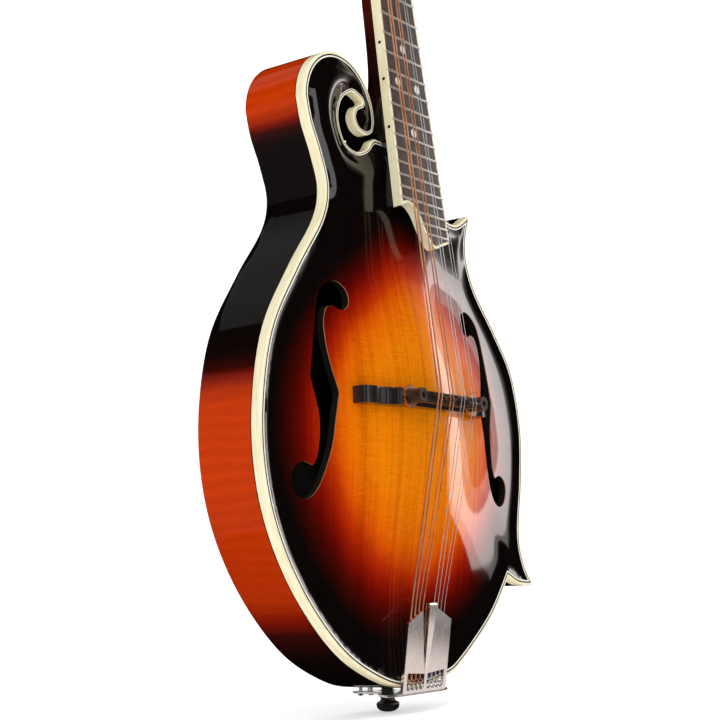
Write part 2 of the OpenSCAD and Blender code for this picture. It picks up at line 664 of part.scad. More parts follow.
// ---------------------------------------------------------------- bridge
saddle_top = neck_to_body([0, -bridge_y - 1.7, string_rise]);
bridge_v = saddle_top[1];
base_half = 60;
base_t = 9;
bridge_post_x = 30.2;
bridge_post_r = 1.6;
base_top = top_arch + 5.5;
wheel_w = base_top + 0.15;
wheel_t = 2;
wheel_r = 6.2;
saddle_w = wheel_w + wheel_t + 0.1;
boss_r = 4;
crest_t = 2.4;
string_lift = 0.12;
string_r = [0.5, 0.5, 0.33, 0.33, 0.21, 0.21, 0.14, 0.14];
saddle_x = [for (c = [-1.5 : 1 : 1.5]) for (s = [-1, 1]) c * course_gap + s * pair_gap / 2];
// Underside of the base, fitted to the arch
base_steps = 16;
base_under = [for (i = [0 : base_steps]) let (u = base_half - 2 * base_half * i / base_steps)
    [u, arch_at(u, bridge_v) + 0.02]];
base_over = [[-60, 12.4], [-56, 14.8], [-50, 16.2], [-44, 15.6], [-39, 17.3], [-36.5, base_top],
    [36.5, base_top], [39, 17.3], [44, 15.6], [50, 16.2], [56, 14.8], [60, 12.4]];
module bridge_base() {
    color([0.10, 0.08, 0.08]) in_body() difference() {
        translate([0, bridge_v + base_t / 2, 0]) rotate([90, 0, 0]) linear_extrude(base_t)
            polygon(concat(base_over, base_under));
        for (x = [-1, 1]) translate([x * bridge_post_x, bridge_v, 2])
            cylinder(r = bridge_post_r, h = 30);
        translate([-24, bridge_v - 10, 0]) cube([48, 20, top_arch + 1.6]);
    }
}
post_foot = 14;
post_head = 29;
module bridge_posts() {
    color([0.80, 0.62, 0.35]) in_body() for (x = [-1, 1])
        translate([x * bridge_post_x, bridge_v, post_foot])
            cylinder(r = bridge_post_r, h = post_head - post_foot);
}
// Knurled wheel under one end of the saddle
module thumbwheel(x) {
    color([0.80, 0.50, 0.28]) in_body() translate([x * bridge_post_x, bridge_v, wheel_w]) difference() {
        cylinder(r = wheel_r, h = wheel_t);
        translate([0, 0, -1]) cylinder(r = bridge_post_r + 0.04, h = wheel_t + 2);
        for (a = [0 : 15 : 345]) rotate([0, 0, a]) translate([wheel_r + 0.1, 0, -1])
            cylinder(r = 0.45, h = wheel_t + 2, $fn = 16);
    }
}
module thumbwheel_bass() {
    thumbwheel(-1);
}
module thumbwheel_treble() {
    thumbwheel(1);
}
crest = saddle_top[2];
saddle_step = [1.2, 1.2, -0.6, -0.6, 0.9, 0.9, -1.2, -1.2];
// Saddle: round boss at each end and a crest stepped for each pair
module bridge_saddle() {
    color([0.10, 0.08, 0.08]) in_body() difference() {
        union() {
            for (x = [-1, 1]) translate([x * bridge_post_x, bridge_v, saddle_w])
                cylinder(r = boss_r, h = crest - 1.5 - saddle_w);
            translate([-bridge_post_x, bridge_v - 3, saddle_w + 1.5]) cube([2 * bridge_post_x, 6, 3.5]);
            for (c = [0 : 3]) {
                mid = (saddle_x[2 * c] + saddle_x[2 * c + 1]) / 2;
                h = crest - saddle_w - 4.5;
                translate([mid - course_gap / 2, bridge_v + saddle_step[2 * c], saddle_w + 4.5])
                    rotate([90, 0, 90]) linear_extrude(course_gap)
                        polygon([[-crest_t / 2, 0], [crest_t / 2, 0], [crest_t / 2, h - 1.2], [0.5, h],
                            [-0.5, h], [-crest_t / 2, h - 1.2]]);
            }
        }
        for (x = [-1, 1]) translate([x * bridge_post_x, bridge_v, 0])
            cylinder(r = bridge_post_r + 0.04, h = 50);
    }
}

// ---------------------------------------------------------------- tailpiece
tail_top = -262;
tail_w_top = 11;
tail_w_end = 5;
plate_metal = 1.8;
// Slab that follows the strings down to the tail
module tail_slope(pts, h) {
    translate([0, tail_v, tail_w_end - 2.4]) rotate([atan2(tail_w_top - tail_w_end, tail_top - tail_v), 0, 0])
        linear_extrude(h) polygon(pts);
}
module tailpiece() {
    half = tail_w / 2;
    color([0.80, 0.78, 0.74]) in_body() {
        difference() {
            union() {
                tail_slope([[-half, -1.6], [half, -1.6], [half, 37], [5, 43], [4.3, 45.5],
                    [-4.3, 45.5], [-8, 42], [-half, 35.5]], plate_metal);
                tail_slope([[-3, 10], [3, 10], [4.4, 45.5], [-4.4, 45.5]], plate_metal + 2);
            }
            tail_slope([[-4.9, 46], [-7.6, 46], [-6.1, 14], [-5.6, 14]], 8);
            for (s = [-1, 1])
                tail_slope([[s * 1.1, 1], [s * 17.6, 1], [s * 17.6, 9.5], [s * 1.1, 8]], 8);
        }
        for (i = [0 : 7]) translate([hook_x[i] - 0.7, tail_v + 0.4, 4.2]) cube([1.4, 4.5, 1.6]);
        difference() {
            union() {
                translate([0, tail_v - 1.2, 0]) rotate([90, 0, 0]) linear_extrude(1.4)
                    polygon([[-29, 0], [-half, tail_w_end - 2], [half, tail_w_end - 2], [29, 0],
                        [24, -8], [11, -19], [8.5, -27], [7.5, -38],
                        [-7.5, -38], [-8.5, -27], [-11, -19], [-24, -8]]);
                translate([-half, tail_v - 2.6, tail_w_end - 2.6]) cube([tail_w, 3.4, 2.2]);
            }
            translate([0, tail_v + 2, pin_w]) rotate([90, 0, 0]) cylinder(r = 4.6, h = 6);
            for (p = tail_holes) translate([p[0], tail_v + 2, p[1]]) rotate([90, 0, 0])
                cylinder(r = tail_screw_r + 0.1, h = 6);
        }
    }
}
hook_x = [-15.5, -11.5, -7.5, -3.5, 3.5, 7.5, 11.5, 15.5];
tail_holes = [[0, -31], [-4, -35.2], [4, -35.2]];
tail_screw_r = 1;
tail_screw_l = 9;
// Holes in the tail for the end pin and the tailpiece's screws
module tail_bores() {
    translate([0, tail_v + 21, pin_w]) rotate([90, 0, 0]) cylinder(r = 3.5, h = 30);
    for (p = tail_holes) translate([p[0], tail_v + 7, p[1]]) rotate([90, 0, 0])
        cylinder(r = tail_screw_r + 0.05, h = 12);
}
module tailpiece_screws() {
    color([0.80, 0.78, 0.74]) in_body() for (p = tail_holes)
        translate([p[0], tail_v - 2.7, p[1]]) rotate([90, 0, 0])
            small_screw(2, 1.2, tail_screw_r, tail_screw_l);
}
// Turned pin: collar, waist for the strap and a round head
module end_pin() {
    color([0.06, 0.05, 0.05]) translate([0, 0, pin_drop]) rotate([180, 0, 0])
        rotate_extrude() polygon([[0, -19], [3.2, -19], [3.45, -1], [3.45, 2.7], [5.2, 2.7], [5.2, 3.8],
            [4, 4.7], [3.8, 5.7], [4.6, 6.9], [6.3, 7.5], [6.3, 9.5], [5.8, 10.8], [3.8, 11.9], [0, 12.4]]);
}

// ---------------------------------------------------------------- strings
function post_side(k) = [tuner_side(k) * (post_x - post_r - 0.55), tuner_y(k), wind_z];
// Post that each string winds on, from the bass side
string_post = [1, 2, 3, 4, 8, 7, 6, 5];
module string(s) {
    r = string_r[s];
    at_nut = [nut_string_x[s], nut_y + nut_t, nut_top + r];
    at_nut_front = [nut_string_x[s], nut_y, nut_top + r];
    at_saddle = body_to_neck([saddle_x[s], bridge_v + saddle_step[s], crest + r + string_lift]);
    in_neck() tube([head_to_neck(post_side(string_post[s])), at_nut, at_nut_front, at_saddle,
        body_to_neck([tail_x[s], string_end_v, string_end_w])], r);
}
// Each string ends just above the tailpiece, level with the way in under its edge
tail_x = [-16, -12.5, -9, -5.2, 5.2, 9, 12.5, 16];
string_end_v = -254;
string_end_w = 9.5;
module wound_strings() {
    color([0.75, 0.52, 0.35]) for (s = [0 : 3]) string(s);
}
module plain_strings() {
    color([0.82, 0.82, 0.84]) for (s = [4 : 7]) string(s);
}

// ---------------------------------------------------------------- assembly
top_plate();
back_plate();
rim();
linings();
head_block();
tail_block();
point_blocks();
tone_bars();
top_binding();
neck();
headstock_veneer();
headstock_binding();
fingerboard();
fingerboard_binding();
frets();
position_dots();
side_dots();
nut();
truss_rod();
truss_rod_nut();
truss_rod_cover();
cover_screws();
tuner_plate_bass();
tuner_plate_treble();
plate_screws();
post_bushings();
tailpiece();
tailpiece_screws();
end_pin();
bridge_base();
bridge_posts();
bridge_saddle();
thumbwheel_bass();
thumbwheel_treble();
wound_strings();
plain_strings();
button(1);  // button_1
button(2);  // button_2
button(3);  // button_3
button(4);  // button_4
button(5);  // button_5
button(6);  // button_6
button(7);  // button_7
button(8);  // button_8
worm(1);  // worm_1
worm(2);  // worm_2
worm(3);  // worm_3
worm(4);  // worm_4
worm(5);  // worm_5
worm(6);  // worm_6
worm(7);  // worm_7
worm(8);  // worm_8
post(1);  // post_1
post(2);  // post_2
post(3);  // post_3
post(4);  // post_4
post(5);  // post_5
post(6);  // post_6
post(7);  // post_7
post(8);  // post_8
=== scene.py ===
import json
import math

import bmesh
import bpy
import numpy as np
from mathutils import Matrix, Vector, geometry

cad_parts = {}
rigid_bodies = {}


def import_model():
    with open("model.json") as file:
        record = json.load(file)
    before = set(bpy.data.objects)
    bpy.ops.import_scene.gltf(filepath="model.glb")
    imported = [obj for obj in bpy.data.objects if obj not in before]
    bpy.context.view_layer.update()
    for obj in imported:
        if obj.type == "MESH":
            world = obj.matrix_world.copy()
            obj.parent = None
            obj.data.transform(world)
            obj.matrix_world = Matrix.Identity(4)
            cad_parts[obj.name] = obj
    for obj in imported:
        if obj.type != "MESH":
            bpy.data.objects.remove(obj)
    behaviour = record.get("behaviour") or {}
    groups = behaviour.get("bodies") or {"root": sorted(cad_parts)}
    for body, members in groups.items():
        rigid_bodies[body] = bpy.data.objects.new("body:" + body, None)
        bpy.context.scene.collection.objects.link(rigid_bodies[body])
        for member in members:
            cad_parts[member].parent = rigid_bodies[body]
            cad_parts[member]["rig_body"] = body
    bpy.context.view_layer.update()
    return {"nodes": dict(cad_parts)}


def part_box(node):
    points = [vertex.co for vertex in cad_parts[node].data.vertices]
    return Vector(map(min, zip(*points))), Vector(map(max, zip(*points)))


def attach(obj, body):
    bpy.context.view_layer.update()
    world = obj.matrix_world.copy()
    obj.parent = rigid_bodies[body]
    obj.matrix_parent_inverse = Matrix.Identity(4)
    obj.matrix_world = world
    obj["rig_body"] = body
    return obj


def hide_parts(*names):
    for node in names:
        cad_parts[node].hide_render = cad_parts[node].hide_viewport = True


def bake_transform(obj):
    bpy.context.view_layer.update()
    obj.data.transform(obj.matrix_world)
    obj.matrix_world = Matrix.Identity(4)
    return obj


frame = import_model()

# Shapes are worked out in millimetres and turned into metres when a mesh is made.
MM = 0.001

# ---------------- frames
# Body frame: u towards the treble side, v towards the headstock, w out of the top.
TAIL_V = -300.5
EDGE_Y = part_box("top_binding")[0].y / MM
TAIL_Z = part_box("top_binding")[0].z / MM
BODY_D = 41
NECK_PITCH = math.radians(6)
HEAD_TILT = math.radians(13)
BOARD_RISE = 12.3
SCALE = 352.4
BRIDGE_Y = SCALE * 2 ** (-15 / 12)
NUT_Y = SCALE - BRIDGE_Y
NUT_T = 4.2
HEAD_DROP = 5.5


def points(rows):
    return np.asarray(rows, float)


def from_body(p):
    p = points(p)
    return np.stack([p[..., 0], EDGE_Y - p[..., 2], p[..., 1] - TAIL_V + TAIL_Z], -1)


def tilted(p, angle, y0=0.0, z0=0.0):
    """Points turned about x by the angle, +y towards -z, then moved."""
    x, y, z = np.moveaxis(points(p), -1, 0)
    c, s = math.cos(angle), math.sin(angle)
    return np.stack([x, y0 + y * c + z * s, z0 - y * s + z * c], -1)


def neck_to_body(p):
    return tilted(points(p) + [0, 0, BOARD_RISE], NECK_PITCH)


def head_to_neck(p):
    return tilted(p, HEAD_TILT, NUT_Y + NUT_T, -HEAD_DROP)


def from_neck(p):
    return from_body(neck_to_body(p))


def from_head(p):
    return from_neck(head_to_neck(p))


# ---------------- curves
def spline_through(spans, step):
    """Catmull-Rom points, from each span's four control points, about a step apart."""
    out = []
    for a, b, c, d in spans:
        count = max(2, math.ceil(np.linalg.norm(c - b) / step))
        for t in np.arange(count) / count:
            out.append(0.5 * (2 * b + (c - a) * t + (2 * a - 5 * b + 4 * c - d) * t * t
                              + (3 * b - a - 3 * c + d) * t ** 3))
    return out


def open_curve(rows, step=1.6, last=False):
    """Smooth curve through the points, without its last point unless asked for."""
    p = points(rows)
    q = [p[0], *p, p[-1]]
    out = spline_through(zip(q, q[1:], q[2:], q[3:]), step)
    return np.array(out + [p[-1]] if last else out)


def closed_curve(rows, step=1.6):
    p = points(rows)
    spans = zip(*(np.roll(p, shift, 0) for shift in (1, 0, -1, -2)))
    return np.array(spline_through(spans, step))


def arc(centre, r, a0, a1, step=1.6):
    count = math.ceil(abs(math.radians(a1 - a0)) * r / step)
    a = np.radians(np.linspace(a0, a1, count + 1))
    return np.stack([centre[0] + r * np.cos(a), centre[1] + r * np.sin(a)], -1)


def smoothstep(x, low=0.0, high=1.0):
    t = np.clip((x - low) / (high - low), 0, 1)
    return t * t * (3 - 2 * t)


def distance_to(loop, p):
    """Distance of each point from a closed polyline."""
    a = loop[:, None, :]
    b = np.roll(loop, -1, 0)[:, None, :]
    ab = b - a
    best = []
    for part in np.array_split(p, max(1, len(p) // 2000)):
        ap = part[None] - a
        t = np.clip((ap * ab).sum(-1) / np.maximum((ab * ab).sum(-1), 1e-12), 0, 1)
        gap = ap - t[..., None] * ab
        best.append(np.sqrt((gap * gap).sum(-1)).min(0))
    return np.concatenate(best)


def inside(loop, p):
    """True where a point lies inside a closed polyline."""
    x, y = p[:, 0], p[:, 1]
    hit = np.zeros(len(p), bool)
    for (ax, ay), (bx, by) in zip(loop, np.roll(loop, -1, 0)):
        if ay == by:
            continue
        cross = (ay > y) != (by > y)
        hit ^= cross & (x < ax + (y - ay) * (bx - ax) / (by - ay))
    return hit


def inset(loop, d, share=1.0):
    """The loop moved inwards by d times share, its crossed-over corners drawn together."""
    if d == 0:
        return loop.copy()
    d = d * np.broadcast_to(share, len(loop))
    ahead = np.roll(loop, -1, 0)
    turning = np.sum(loop[:, 0] * ahead[:, 1] - ahead[:, 0] * loop[:, 1])
    side = 1 if turning > 0 else -1
    before = loop - np.roll(loop, 1, 0)
    after = ahead - loop
    normals = []
    for e in (before, after):
        e = e / np.maximum(np.linalg.norm(e, axis=1), 1e-9)[:, None]
        normals.append(side * np.stack([-e[:, 1], e[:, 0]], -1))
    mean = normals[0] + normals[1]
    mean /= np.maximum(np.linalg.norm(mean, axis=1), 1e-9)[:, None]
    stretch = 1 / np.clip((mean * normals[1]).sum(-1), 0.35, 1)
    moved = loop + mean * (d * stretch)[:, None]
    bad = distance_to(loop, moved) < np.abs(d) * 0.97
    good = np.flatnonzero(~bad)
    index = np.arange(len(loop))
    return np.stack([np.interp(index, good, moved[good, k], period=len(loop)) for k in (0, 1)], -1)


# ---------------- outlines
# The same outline points as the CAD model's
bass_side = [[0, -300.5], [-28, -296], [-63, -280], [-93, -253], [-114, -222], [-124.5, -190],
             [-125.5, -155], [-116.5, -117], [-95, -83], [-74, -55], [-68.5, -37], [-73.5, -20],
             [-81, -4], [-84.5, 9.5]]
scroll_curl = [[-21.5, 9.5], [-24, 3], [-30.5, 0.3], [-37.5, 2.2], [-41, 8], [-38.6, 14],
               [-33.2, 17]]
scroll_slot = [[-33.2, 17], [-32, 18.4], [-34.2, 20.4], [-42, 21.8], [-51.3, 15.2],
               [-54.8, 4], [-50, -7.8], [-39.5, -11.3], [-29.5, -7.5], [-25, -2]]
neck_mouth = [[-25, -2], [-22, 0]]
upper_point = [[21, 0], [26, -16], [42, -31], [58, -34.5], [73, -26.5]]
upper_tip = [[73, -26.5], [75, -28.5]]
treble_side = [[75, -28.5], [70.5, -42], [70.5, -56], [79, -73], [99, -95], [117, -119],
               [125, -152], [123, -184], [117, -217], [121, -235], [129, -246]]
lower_point = [[129, -246], [128, -248.5], [113, -247.5], [101, -243]]
treble_tail = [[101, -243], [79, -266.5], [45, -289.5], [28, -296], [0, -300.5]]
scroll_centre = (-53, 9.5)
scroll_radius = 31.5
outline_runs = [
    open_curve(bass_side), arc(scroll_centre, scroll_radius, 180, 10), open_curve(scroll_curl, 1),
    open_curve(scroll_slot, 1), points(neck_mouth), open_curve(upper_point),
    open_curve(upper_tip, 0.7), open_curve(treble_side), open_curve(lower_point, 0.8),
    open_curve(treble_tail)]
outline = np.concatenate(outline_runs)
# The trim is narrower round the scroll's slot, runs 2 and 3, and eases into it
SLOT_TRIM = 0.6
trim_share = np.concatenate([np.full(len(run), SLOT_TRIM if i in (2, 3) else 1.0)
                             for i, run in enumerate(outline_runs)])
EASE = 5
mean = np.ones(2 * EASE + 1) / (2 * EASE + 1)
trim_share = np.convolve(np.pad(trim_share, EASE, "wrap"), mean, "valid")

hole_runs = [
    [[-88, -139.5], [-83, -160], [-84.5, -178], [-88, -184.5]],
    [[-88, -184.5], [-95, -182.8], [-101.8, -186.5], [-103, -193.5], [-98.5, -200.2],
     [-90.5, -200.8], [-82.5, -193.5], [-75, -176], [-71.5, -159], [-68.5, -146.5]],
    [[-68.5, -146.5], [-74, -128], [-75.5, -112], [-72.5, -102.5], [-67.5, -100.5]],
    [[-67.5, -100.5], [-60.5, -102.5], [-55, -97.5], [-57, -90], [-66, -87], [-77.5, -95],
     [-83.5, -117], [-88, -139.5]]]
bass_hole = np.concatenate([open_curve(run, 1) for run in hole_runs])
treble_hole = bass_hole[::-1] * [-1, 1]

# Pear-shaped boundary of the carved arch, and half its greatest width
CHAMBER_HALF = 113
chamber = closed_curve([
    [0, -287], [50, -276], [90, -240], [113, -190], [113, -150], [98, -105], [72, -70], [50, -46],
    [26, -26], [0, -22], [-26, -26], [-50, -46], [-72, -70], [-98, -105], [-113, -150],
    [-113, -190], [-90, -240], [-50, -276]])
ARCH_V = -150
TOP_ARCH = 16
BACK_ARCH = 13
PLATE_EDGE = 5.5
PLATE_T = 4.5


def arch_ratio(p):
    """0 at the middle of the arch and 1 on its boundary."""
    angle = np.arctan2(chamber[:, 1] - ARCH_V, chamber[:, 0])
    radius = np.hypot(chamber[:, 0], chamber[:, 1] - ARCH_V)
    order = np.argsort(angle)
    at = np.arctan2(p[:, 1] - ARCH_V, p[:, 0])
    edge = np.interp(at, angle[order], radius[order], period=2 * math.pi)
    return np.hypot(p[:, 0], p[:, 1] - ARCH_V) / edge


def bell(t):
    return (1 + np.cos(np.pi * np.clip(t, 0, 1))) / 2


def sunburst(p):
    """How dark the stain is: 0 in the middle, 1 black; drawn in towards the neck and the tail."""
    ratio = arch_ratio(p)
    upward = (p[:, 1] - ARCH_V) / np.maximum(np.hypot(p[:, 0], p[:, 1] - ARCH_V), 1)
    to_neck = 0.22 * np.maximum(upward, 0) ** 2
    to_tail = 0.10 * ratio * np.maximum(-upward, 0) ** 2
    return ratio * (1 + to_neck + to_tail)


# Distances in from the edge: the binding's inner side, the black line's, the white line's
BINDING_TOP = 1.6
BLACK_LINE = 2.4
TRIM = 3.2
RECURVE = 0.9       # depth of the channel inside the edge
RECURVE_AT = 6      # how far in it is deepest
RIDGE = 3.4         # height of the ridge along the scroll and points
RIDGE_REACH = 12    # how far in it is full height


def top_height(p):
    """Carved top: arch, shallow channel inside the edge, and a ridge along the scroll and points."""
    d = np.maximum(distance_to(outline, p) - TRIM, 0)
    channel = RECURVE * (d / RECURVE_AT) * np.exp(1 - d / RECURVE_AT)
    upper = smoothstep(p[:, 1], -80, -35)
    ridge = RIDGE * np.sin(0.5 * math.pi * np.clip(d / RIDGE_REACH, 0, 1))
    return TOP_ARCH * bell(arch_ratio(p)) - channel * (1 - upper) + ridge * upper


def back_height(p):
    return BACK_ARCH * bell(arch_ratio(p))


# ---------------- mesh helpers
# Points closer than this, in metres, are one
WELD = 2e-6
# Degrees over which a refined CAD node keeps an edge sharp
REFINE_SHARP = 30


def add_piece(name, verts, faces, materials, body="root", replaces=(),
              face_materials=None, sharp=35, values=None):
    """Makes a mesh from row-frame millimetres, smooth except across sharp edges."""
    mesh = bpy.data.meshes.new(name)
    mesh.from_pydata([tuple(v) for v in points(verts) * MM], [], [tuple(map(int, f)) for f in faces])
    for m in materials:
        mesh.materials.append(m)
    if face_materials is not None:
        mesh.polygons.foreach_set("material_index", np.asarray(face_materials, np.int32))
    for key, data in (values or {}).items():
        attribute = mesh.attributes.new(key, "FLOAT", "POINT")
        attribute.data.foreach_set("value", np.asarray(data, np.float32))
    clean(mesh, sharp)
    piece = place_object(name, mesh)
    if body:
        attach(piece, body)
    if replaces:
        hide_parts(*replaces)
    return piece


def place_object(name, data):
    made = bpy.data.objects.new(name, data)
    bpy.context.scene.collection.objects.link(made)
    return made


def smooth_by_angle(bm, sharp):
    for f in bm.faces:
        f.smooth = True
    for e in bm.edges:
        e.smooth = len(e.link_faces) == 2 and e.calc_face_angle(0) < math.radians(sharp)


def clean(mesh, sharp):
    bm = bmesh.new()
    bm.from_mesh(mesh)
    bmesh.ops.remove_doubles(bm, verts=bm.verts, dist=WELD)
    bmesh.ops.dissolve_degenerate(bm, edges=bm.edges, dist=WELD / 2)
    bmesh.ops.recalc_face_normals(bm, faces=bm.faces)
    smooth_by_angle(bm, sharp)
    bm.to_mesh(mesh)
    bm.free()
    mesh.update()


def add_bevel(piece, width, segments=2, angle=30):
    bevel = piece.modifiers.new("bevel", "BEVEL")
    bevel.width = width * MM
    bevel.segments = segments
    bevel.limit_method = "ANGLE"
    bevel.angle_limit = math.radians(angle)
    bevel.harden_normals = True
    return piece


def strip_faces(rows, columns):
    """Quads between rows of points, each row closed on itself."""
    return [(r * columns + c, r * columns + (c + 1) % columns,
             (r + 1) * columns + (c + 1) % columns, (r + 1) * columns + c)
            for r in range(rows - 1) for c in range(columns)]


def loft(rings):
    """Closed rings joined in order and capped at both ends."""
    n = len(rings[0])
    verts = np.concatenate(rings)
    faces = strip_faces(len(rings), n)
    faces.append(tuple(range(n - 1, -1, -1)))
    faces.append(tuple(range((len(rings) - 1) * n, len(rings) * n)))
    return verts, faces


def tube(path, radius, sides=10):
    """Round tube along a path, its rings turned as little as possible."""
    path = points(path)
    radius = np.broadcast_to(radius, len(path))
    tangents = np.gradient(path, axis=0)
    tangents /= np.linalg.norm(tangents, axis=1)[:, None]
    side = np.cross(tangents[0], [0.3, 0.9, 0.2])
    a = np.linspace(0, 2 * math.pi, sides, endpoint=False)[:, None]
    rings = []
    for p, t, r in zip(path, tangents, radius):
        side = side - t * side.dot(t)
        side /= np.linalg.norm(side)
        rings.append(p + r * (np.cos(a) * side + np.sin(a) * np.cross(t, side)))
    return loft(rings)


def lathe(profile, segments=64):
    """Rings about the local z axis, from (radius, z) rows."""
    a = np.linspace(0, 2 * math.pi, segments, endpoint=False)
    return [np.stack([r * np.cos(a), r * np.sin(a), np.full(segments, z)], -1) for r, z in profile]


def merge(shapes):
    """Several (verts, faces) shapes as one."""
    verts, faces, start = [], [], 0
    for v, f in shapes:
        verts.append(v)
        faces += [tuple(i + start for i in face) for face in f]
        start += len(v)
    return np.concatenate(verts), faces


def extrude(loop, axis, ends):
    """A flat outline carried along an axis between two places on it."""
    return loft([np.insert(points(loop), axis, at, axis=1) for at in ends])


def refine(node, material, bevel=0.15, segments=2):
    """A finer piece made from a CAD node: flat faces joined, edges rounded."""
    source = frame["nodes"][node]
    mesh = source.data.copy()
    mesh.materials.clear()
    mesh.materials.append(material)
    bm = bmesh.new()
    bm.from_mesh(mesh)
    bmesh.ops.remove_doubles(bm, verts=bm.verts, dist=WELD)
    bmesh.ops.dissolve_limit(bm, angle_limit=math.radians(1), verts=bm.verts, edges=bm.edges)
    for f in bm.faces:
        f.material_index = 0
    smooth_by_angle(bm, REFINE_SHARP)
    bm.to_mesh(mesh)
    bm.free()
    piece = place_object(node + "_fine", mesh)
    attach(piece, source["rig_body"])
    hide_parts(node)
    if bevel:
        add_bevel(piece, bevel, segments)
    return piece


# ---------------- materials
class Nodes:
    """A material's shader graph, written a node at a time."""

    def __init__(self, name):
        self.material = bpy.data.materials.new(name)
        self.material.use_nodes = True
        self.tree = self.material.node_tree
        self.shader = self.tree.nodes["Principled BSDF"]

    def feed(self, socket, value):
        if isinstance(value, bpy.types.NodeSocket):
            self.tree.links.new(value, socket)
        else:
            socket.default_value = value

    def add(self, kind, **inputs):
        node = self.tree.nodes.new("ShaderNode" + kind)
        for key, value in inputs.items():
            self.feed(node.inputs[key.replace("_", " ")], value)
        return node

    def set(self, **inputs):
        for key, value in inputs.items():
            self.shader.inputs[key.replace("_", " ")].default_value = value

    def link(self, output, name="Base Color"):
        self.tree.links.new(output, self.shader.inputs[name])

    def attribute(self, name):
        node = self.add("Attribute")
        node.attribute_name = name
        return node.outputs["Fac"]

    def place(self, scale=(1, 1, 1)):
        """Object position in metres, scaled."""
        where = self.add("TexCoord").outputs["Object"]
        return self.add("Mapping", Vector=where, Scale=scale).outputs["Vector"]

    def noise(self, place, scale=1.0, detail=4.0, roughness=0.5, distortion=0.0):
        """Noise over the object's position, stretched by the place's three scales."""
        node = self.add("TexNoise", Vector=self.place(place), Scale=scale, Detail=detail,
                        Roughness=roughness, Distortion=distortion)
        return node.outputs["Fac"]

    def ramp(self, value, stops):
        node = self.add("ValToRGB", Fac=value)
        ramp = node.color_ramp
        while len(ramp.elements) < len(stops):
            ramp.elements.new(0.5)
        for element, (at, colour) in zip(ramp.elements, stops):
            element.position = at
            element.color = tuple(colour) + (1,)
        return node.outputs["Color"]

    def math(self, operation, a, b=0.5):
        node = self.add("Math")
        node.operation = operation
        self.feed(node.inputs[0], a)
        self.feed(node.inputs[1], b)
        return node.outputs[0]

    def weigh(self, *pairs):
        """Sum of the values times their weights."""
        total = None
        for value, weight in pairs:
            term = self.math("MULTIPLY", value, weight)
            total = term if total is None else self.math("ADD", total, term)
        return total

    def multiply(self, factor, colour, by):
        """The colour darkened or lightened by another, as far as the factor says."""
        node = self.add("Mix")
        node.data_type = "RGBA"
        node.blend_type = "MULTIPLY"
        for socket, value in ((0, factor), (6, colour), (7, by)):
            self.feed(node.inputs[socket], value)
        return node.outputs[2]

    def bump(self, height, strength, distance):
        node = self.add("Bump", Height=height, Strength=strength, Distance=distance)
        self.link(node.outputs["Normal"], "Normal")


def srgb(r, g, b):
    """Linear colour from 0..255 display values."""
    out = []
    for c in (r, g, b):
        c /= 255
        out.append(c / 12.92 if c <= 0.04045 else ((c + 0.055) / 1.055) ** 2.4)
    return tuple(out)


def lacquer(m, base_roughness=0.4, coat_roughness=0.045):
    m.set(Roughness=base_roughness, Coat_Weight=1.0, Coat_Roughness=coat_roughness,
          Coat_IOR=1.5, Specular_IOR_Level=0.0)


def stops(*rows):
    """Colour ramp from rows of position and display colour."""
    return [(at, srgb(*colour)) for at, *colour in rows]


BURST = stops((0.0, 232, 134, 8), (0.42, 227, 121, 5), (0.57, 217, 100, 4), (0.64, 203, 76, 4),
              (0.70, 174, 45, 4), (0.77, 138, 22, 4), (0.83, 102, 10, 3), (0.89, 66, 7, 3),
              (0.95, 38, 6, 4), (1.0, 12, 7, 7))
SIDE_BURST = stops((0.0, 196, 57, 4), (0.35, 160, 42, 8), (0.55, 118, 20, 5), (0.75, 52, 10, 7),
                   (1.0, 12, 7, 7))
NECK_BURST = stops((0.0, 12, 7, 7), (0.35, 38, 13, 11), (0.7, 92, 24, 12), (1.0, 122, 38, 14))


def top_wood():
    """Spruce with fine upright grain and faint silk across it, under a gloss sunburst."""
    m = Nodes("sunburst_spruce")
    burst = m.attribute("burst")
    drift = m.noise((22, 22, 12), detail=3)
    burst = m.math("ADD", burst, m.math("MULTIPLY", m.math("SUBTRACT", drift), 0.09))
    colour = m.ramp(burst, BURST)
    grain = m.noise((1100, 60, 9), detail=5, roughness=0.6)
    rings = m.noise((300, 20, 1.6), detail=2)
    silk = m.noise((150, 150, 900), detail=3, roughness=0.6, distortion=0.3)
    tone = m.weigh((grain, 0.40), (rings, 0.30), (silk, 0.30))
    shade = m.ramp(tone, [(0.40, (0.74, 0.66, 0.55)), (0.53, (0.97, 0.97, 0.96)),
                          (0.66, (1.08, 1.10, 1.10))])
    m.link(m.multiply(1.0, colour, shade))
    lacquer(m)
    m.bump(grain, 0.04, 0.0002)
    return m.material


def flamed(m, along):
    """Soft bright and dark bars of flamed maple, stronger in some places than others."""
    wobble = m.noise((30, 30, 30), detail=3)
    phase = m.math("ADD", along, m.math("MULTIPLY", wobble, 7.0))
    wave = m.math("MULTIPLY", m.math("ADD", m.math("SINE", phase), 1), 0.5)
    return m.math("MULTIPLY", wave, m.noise((14, 14, 14), detail=2))


